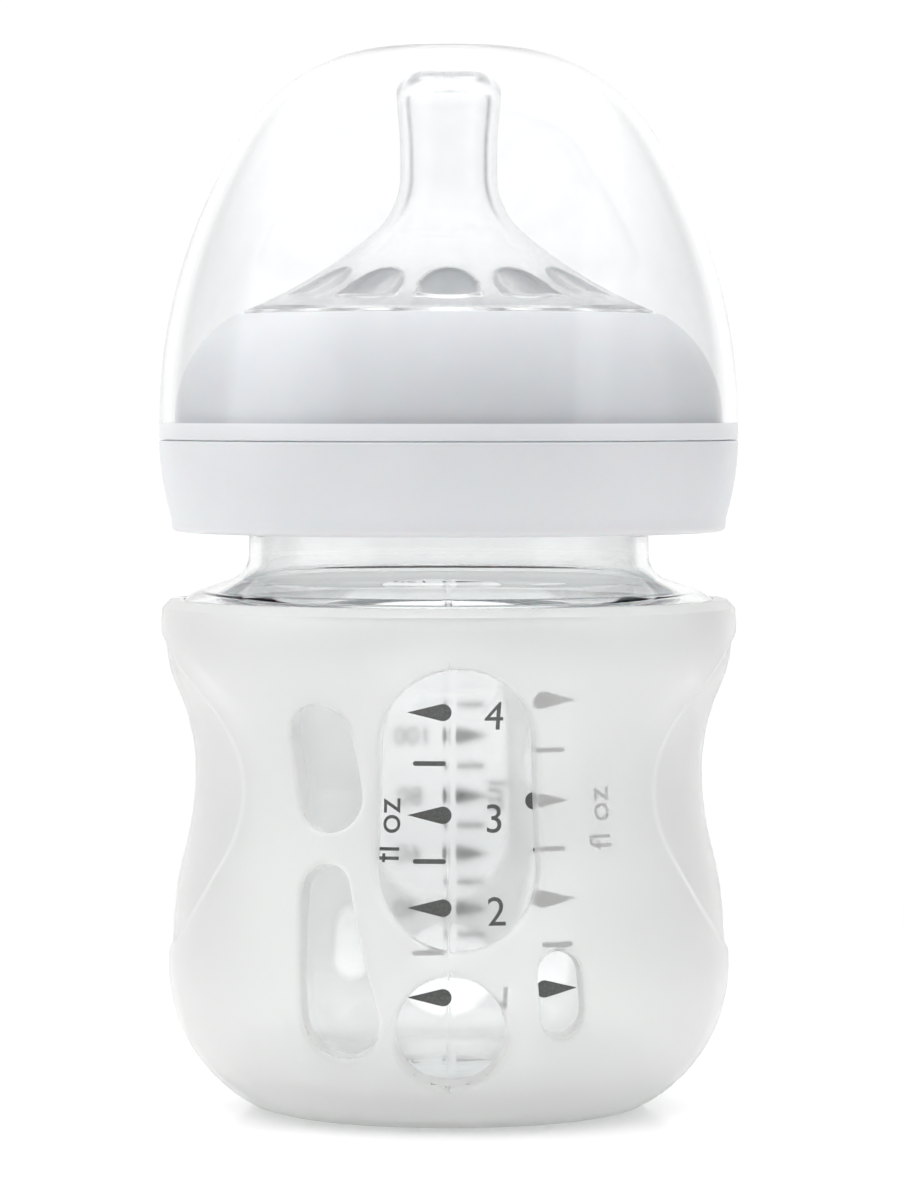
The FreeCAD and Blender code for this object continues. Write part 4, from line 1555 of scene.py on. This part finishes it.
# ---------------------------------------------------------------------------------------------
# Dome cap
# ---------------------------------------------------------------------------------------------
@dataclass
class DomeCap:
    """The clear cap: a straight rim with a snap bead, long side curves and a flat crown."""

    finishes: Finishes
    wall: float = 1.3 * MM
    straight: float = 2.0 * MM
    side_curve: float = 64.4 * MM
    crown_curve: float = 22.0 * MM
    snap_depth: float = 0.35 * MM
    snap_height: float = 1.6 * MM

    def centres(self) -> tuple[Point, Point]:
        """Where the cap's two curves turn about.

        Returns:
            The side curve's centre and the crown curve's.
        """
        low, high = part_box("dome_cap")
        side = Point(high.x - self.side_curve, low.z + self.straight)
        crown_height = high.z - self.crown_curve
        across = math.sqrt((self.side_curve - self.crown_curve) ** 2 - (crown_height - side.height) ** 2)
        return side, Point(side.radius + across, crown_height)

    def crown_corner(self, inset: float) -> Point:
        """Where the side's curve meets the crown's.

        Args:
            inset: how far inside the cap's outer surface.

        Returns:
            The place.
        """
        side, crown = self.centres()
        share = (self.side_curve - inset) / (self.side_curve - self.crown_curve)
        return Point(side.radius + (crown.radius - side.radius) * share,
                     side.height + (crown.height - side.height) * share)

    def section(self) -> list[Vector]:
        """The cap's outline.

        Returns:
            Radii and heights in order.
        """
        low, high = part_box("dome_cap")
        side, crown = self.centres()
        inner = high.x - self.wall
        bead = inner - self.snap_depth
        under = high.z - self.wall
        cap = Section(Point(inner, low.z, 0.25 * MM))
        cap.line(Point(high.x, low.z, 0.3 * MM), Point(high.x, side.height))
        cap.arc(self.crown_corner(0.0), self.side_curve, Side.LEFT, 0.8 * MM)
        cap.arc(Point(crown.radius, high.z), self.crown_curve, Side.LEFT, 0.6 * MM)
        cap.line(Point(crown.radius / 2.0, high.z), Point(0.0, high.z), Point(0.0, under),
                 Point(crown.radius / 2.0, under), Point(crown.radius, under))
        cap.arc(self.crown_corner(self.wall), self.crown_curve - self.wall, Side.RIGHT, 0.6 * MM)
        cap.arc(Point(inner, side.height), self.side_curve - self.wall, Side.RIGHT, 0.8 * MM)
        cap.line(Point(inner, low.z + self.snap_height, 0.1 * MM),
                 Point(bead, low.z + self.snap_height * 0.75, 0.1 * MM),
                 Point(bead, low.z + self.snap_height * 0.5, 0.1 * MM),
                 Point(inner, low.z + self.snap_height * 0.25))
        return cap.outline()

    def build(self) -> None:
        """Make the cap."""
        piece = lathe("cap_dome", self.section(), even_turns(256))
        piece.data.materials.append(self.finishes.cap)
        piece.data.materials.append(self.finishes.cap_rim)
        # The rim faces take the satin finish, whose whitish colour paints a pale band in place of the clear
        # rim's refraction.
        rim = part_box("dome_cap")[0].z + self.straight
        for face in piece.data.polygons:
            face.material_index = int(face.center.z < rim)
        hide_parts("dome_cap")
        settle(piece, Body.CAP)


# ---------------------------------------------------------------------------------------------
# Printed scales
# ---------------------------------------------------------------------------------------------
SCALE_NODES = ("ounce_marks_left", "ounce_marks_right", "millilitre_marks")


@dataclass(frozen=True)
class Lettering:
    """One printed word or number: its text, place on the glass and size."""

    text: str
    turn: float
    height: float
    size: float
    upright: bool = True
    flush_right: bool = False


@dataclass
class PrintedScales:
    """The enamel arrows and ticks of the frame, with numbers and unit letters beside them."""

    finishes: Finishes
    curve: BodyCurve = field(default_factory=BodyCurve)
    film: float = 0.07 * MM
    digit_size: float = 4.7 * MM
    digit_drop: float = 0.4 * MM
    digit_edge: float = math.radians(12.1)
    rear_step: int = 20
    rear_share: float = 0.72
    rear_turn: float = math.radians(190.0)
    unit_size: float = 4.3 * MM
    unit_lift: float = 3.5 * MM
    left_unit_turn: float = math.radians(-14.0)
    right_unit_turn: float = math.radians(36.0)
    right_unit_lift: float = 1.0 * MM
    rear_unit_turn: float = math.radians(167.0)
    slice_width: float = 0.45 * MM
    least_arrow: float = 1.0 * MM

    def arrow_heights(self, node: str) -> list[float]:
        """Heights of a scale's arrows, read from the node's own solids.

        Args:
            node: the scale's CAD node.

        Returns:
            The arrows' heights, lowest first.
        """
        spans: list[list[float]] = []
        for height in sorted(vertex.co.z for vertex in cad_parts[node].data.vertices):
            if not spans or height - spans[-1][-1] > self.least_arrow:
                spans.append([height, height])
            spans[-1][-1] = height
        return [(low + high) / 2.0 for low, high in spans if high - low > self.least_arrow]

    def letters(self, name: str, lettering: Lettering) -> bpy.types.Object:
        """Make one piece of lettering and lay it on the glass.

        Args:
            name: the piece's name.
            lettering: what it says and where.

        Returns:
            The new piece.
        """
        curve_data = bpy.data.curves.new(name, "FONT")
        curve_data.body = lettering.text
        curve_data.size = lettering.size
        curve_data.align_x = "CENTER"
        curve_data.align_y = "CENTER"
        curve_data.extrude = self.film / 2.0
        curve_data.resolution_u = 6
        writer = bpy.data.objects.new(name, curve_data)
        bpy.context.scene.collection.objects.link(writer)
        graph = bpy.context.evaluated_depsgraph_get()
        mesh = bpy.data.meshes.new_from_object(writer.evaluated_get(graph))
        bpy.data.objects.remove(writer)
        shape = bmesh.new()
        shape.from_mesh(mesh)
        bpy.data.meshes.remove(mesh)
        if not lettering.upright:
            shape.transform(Matrix.Rotation(math.pi / 2.0, 4, "Z"))
        (left, right), (low, high) = [
            (min(vertex.co[axis] for vertex in shape.verts), max(vertex.co[axis] for vertex in shape.verts))
            for axis in (0, 1)]
        line = right if lettering.flush_right else (left + right) / 2.0
        shape.transform(Matrix.Translation((-line, -(low + high) / 2.0, 0.0)))
        for axis in (0, 1):
            places = [vertex.co[axis] for vertex in shape.verts]
            count = math.ceil((max(places) - min(places)) / self.slice_width)
            for number in range(1, count):
                level = Vector((0.0, 0.0, 0.0))
                level[axis] = min(places) + number * self.slice_width
                normal = Vector((0.0, 0.0, 0.0))
                normal[axis] = 1.0
                bmesh.ops.bisect_plane(shape, geom=shape.verts[:] + shape.edges[:] + shape.faces[:],
                                       plane_co=level, plane_no=normal)
        base = self.curve.radius(lettering.height, self.curve.glass_inset)
        for vertex in shape.verts:
            height = lettering.height + vertex.co.y
            radius = self.curve.radius(height, self.curve.glass_inset) + self.film * 0.6 + vertex.co.z
            vertex.co = around(radius, lettering.turn + vertex.co.x / base, height)
        return new_piece(name, shape)

    def all_letters(self) -> list[Lettering]:
        """Every number and unit of the three scales.

        Returns:
            The words, in the order that their pieces are numbered.
        """
        left = self.arrow_heights("ounce_marks_left")
        rear = self.arrow_heights("millilitre_marks")
        rear_size = self.digit_size * self.rear_share
        words = [Lettering(str(count), self.digit_edge, height - self.digit_drop, self.digit_size,
                           flush_right=True) for count, height in enumerate(left, start=1)]
        words += [Lettering(str(self.rear_step * count), self.rear_turn, height, rear_size)
                  for count, height in enumerate(rear, start=1)]
        middle = (left[1] + left[2]) / 2.0 + self.unit_lift
        for text, turn, lift in (("fl oz", self.left_unit_turn, 0.0),
                                 ("fl oz", self.right_unit_turn, self.right_unit_lift),
                                 ("ml", self.rear_unit_turn, 0.0)):
            words.append(Lettering(text, turn, middle + lift, self.unit_size, upright=False))
        return words

    def build(self) -> None:
        """Dress the frame's marks and make the lettering."""
        for node in SCALE_NODES:
            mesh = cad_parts[node].data
            mesh.materials.clear()
            mesh.materials.append(self.finishes.enamel)
        for number, lettering in enumerate(self.all_letters(), start=1):
            name = "print_" + lettering.text.replace(" ", "_") + f"_{number}"
            settle(self.letters(name, lettering), Body.BOTTLE, self.finishes.enamel)


# ---------------------------------------------------------------------------------------------
# Studio
# ---------------------------------------------------------------------------------------------
class WorldBench:
    """The world's node tree, with short calls to shape its light by direction."""

    def __init__(self, name: str) -> None:
        """Start a white world."""
        self.world = bpy.data.worlds.new(name)
        self.world.use_nodes = True
        self.nodes = self.world.node_tree.nodes
        self.links = self.world.node_tree.links
        self.nodes["Background"].inputs["Color"].default_value = (1.0, 1.0, 1.0, 1.0)
        parts = self.nodes.new("ShaderNodeSeparateXYZ")
        self.links.new(self.nodes.new("ShaderNodeTexCoord").outputs["Generated"], parts.inputs[0])
        self.axes = parts.outputs

    def step(self, axis: str, start: float, end: float) -> bpy.types.NodeSocket:
        """A value that climbs smoothly along an axis of the direction.

        Args:
            axis: X, Y or Z.
            start: where it is 0.
            end: where it is 1.

        Returns:
            The value's socket.
        """
        node = self.nodes.new("ShaderNodeMapRange")
        node.interpolation_type = "SMOOTHSTEP"
        node.inputs["From Min"].default_value = start
        node.inputs["From Max"].default_value = end
        self.links.new(self.axes[axis], node.inputs["Value"])
        return node.outputs["Result"]

    def join(self, operation: str, first: bpy.types.NodeSocket,
             *others: bpy.types.NodeSocket | float) -> bpy.types.NodeSocket:
        """Fold values together, one after another.

        Args:
            operation: the Math node's operation.
            first: the value to start from.
            others: what is joined to it in turn.

        Returns:
            The result's socket.
        """
        for value in others:
            node = self.nodes.new("ShaderNodeMath")
            node.operation = operation
            self.links.new(first, node.inputs[0])
            if isinstance(value, float):
                node.inputs[1].default_value = value
            else:
                self.links.new(value, node.inputs[1])
            first = node.outputs[0]
        return first


@dataclass
class Studio:
    """Pale floor, white surround, soft lights and the camera.

    A step is the two places on an axis of the light's direction where a light is off and full.
    """

    distance: float = 0.650
    eye: float = 84.8 * MM
    aim: float = 60.8 * MM
    side: float = 0.4 * MM
    lens: float = 162.5
    floor_reach: float = 6.0
    floor_index: float = 1.12
    floor_glow: float = 0.04
    # Painted pool of light on the floor: the distances where it is full and where it has faded, and its two
    # tints.
    floor_shade: tuple[float, float] = (0.05, 0.34)
    floor_tints: Tints = ((0.62, 0.62, 0.62), (0.95, 0.95, 0.95))
    floor_roughness: tuple[float, float] = (0.07, 0.09)
    front_light: float = 0.36
    front_step: tuple[float, float] = (-0.30, -0.75)
    side_light: float = 0.88
    side_step: tuple[float, float] = (0.30, 0.0)
    flank_light: float = 0.50
    right_share: float = 0.68
    right_step: tuple[float, float] = (-0.70, 0.70)
    top_light: float = 1.20
    top_step: tuple[float, float] = (0.25, 0.70)
    backdrop_light: float = 1.05
    backdrop_step: tuple[float, float] = (0.60, 0.84)
    left_box: float = 0.50
    left_box_across: tuple[float, float] = (-0.60, -0.80)
    left_box_back: tuple[float, float] = (0.20, 0.05)
    right_box: float = 0.45
    right_box_start: tuple[float, float] = (0.76, 0.80)
    right_box_end: tuple[float, float] = (0.93, 0.89)
    right_box_back: tuple[float, float] = (0.05, -0.05)
    light_bounces: int = 32

    def camera(self) -> None:
        """Place the camera level with the ring, looking slightly down."""
        data = bpy.data.cameras.new("camera")
        data.lens = self.lens
        data.clip_start = 0.01
        data.clip_end = 50.0
        camera = bpy.data.objects.new("camera", data)
        bpy.context.scene.collection.objects.link(camera)
        camera.location = (self.side, -self.distance, self.eye)
        way = Vector((self.side, 0.0, self.aim)) - camera.location
        camera.rotation_euler = way.to_track_quat("-Z", "Y").to_euler()
        bpy.context.scene.camera = camera

    def floor(self) -> None:
        """A wide pale floor with a faint gloss and a painted pool of light: lighter round the bottle, darker
        further out.
        """
        bench = NodeBench("studio_floor")
        bench.set(IOR=self.floor_index, Emission_Strength=self.floor_glow,
                  Emission_Color=(1.0, 1.0, 1.0, 1.0))
        # Painted pool of light: the floor's colour runs from light near the bottle to darker further out.
        bench.tint(bench.nearness(*self.floor_shade), *self.floor_tints)
        bench.rough(bench.noise(3.0), *self.floor_roughness)
        mesh = bpy.data.meshes.new("studio_floor")
        reach = self.floor_reach
        corners = [(-reach, -reach, 0.0), (reach, -reach, 0.0), (reach, reach, 0.0), (-reach, reach, 0.0)]
        mesh.from_pydata(corners, [], [(0, 1, 2, 3)])
        mesh.materials.append(bench.material)
        floor = bpy.data.objects.new("studio_floor", mesh)
        bpy.context.scene.collection.objects.link(floor)

    def surround(self) -> None:
        """White surroundings: a bright backdrop, dimmer flanks and soft boxes to the left and right."""
        bench = WorldBench("studio")
        step, join = bench.step, bench.join
        sides = join("MULTIPLY", step("Y", *self.side_step), self.side_light - self.flank_light)
        front = join("MULTIPLY", step("Y", *self.front_step), self.front_light - self.side_light)
        fall = join("ADD", join("MULTIPLY", step("X", *self.right_step), self.right_share - 1.0), 1.0)
        room = join("MULTIPLY", join("ADD", sides, front, self.flank_light), fall)
        room = join("ADD", room, join("MULTIPLY", step("Z", *self.top_step), self.top_light))
        backdrop = join("MULTIPLY", step("Y", *self.backdrop_step), self.backdrop_light)
        left = join("MULTIPLY", step("X", *self.left_box_across), step("Y", *self.left_box_back),
                    self.left_box)
        right = join("MULTIPLY", step("X", *self.right_box_start), step("X", *self.right_box_end),
                     self.right_box, step("Y", *self.right_box_back))
        light = join("ADD", join("MAXIMUM", room, backdrop), join("ADD", left, right))
        bench.links.new(light, bench.nodes["Background"].inputs["Strength"])
        bpy.context.scene.world = bench.world

    def build(self) -> None:
        """Set everything up."""
        self.camera()
        self.floor()
        self.surround()
        scene = bpy.context.scene
        scene.view_settings.view_transform = "Standard"
        scene.cycles.max_bounces = self.light_bounces
        scene.cycles.transmission_bounces = self.light_bounces
        scene.cycles.diffuse_bounces = self.light_bounces // 2
        scene.cycles.glossy_bounces = self.light_bounces // 2
        scene.cycles.blur_glossy = 0.0


def main() -> None:
    """Build the studio and every piece of the bottle, in order."""
    logging.basicConfig(level=logging.INFO, format="%(message)s")
    finishes = Finishes.build()
    Studio().build()
    for maker in (GlassBottle(finishes), SiliconeSleeve(finishes), ScrewRing(finishes), Teat(finishes),
                  DomeCap(finishes), PrintedScales(finishes)):
        log.info("building %s", type(maker).__name__)
        maker.build()


if __name__ == "__main__":
    main()
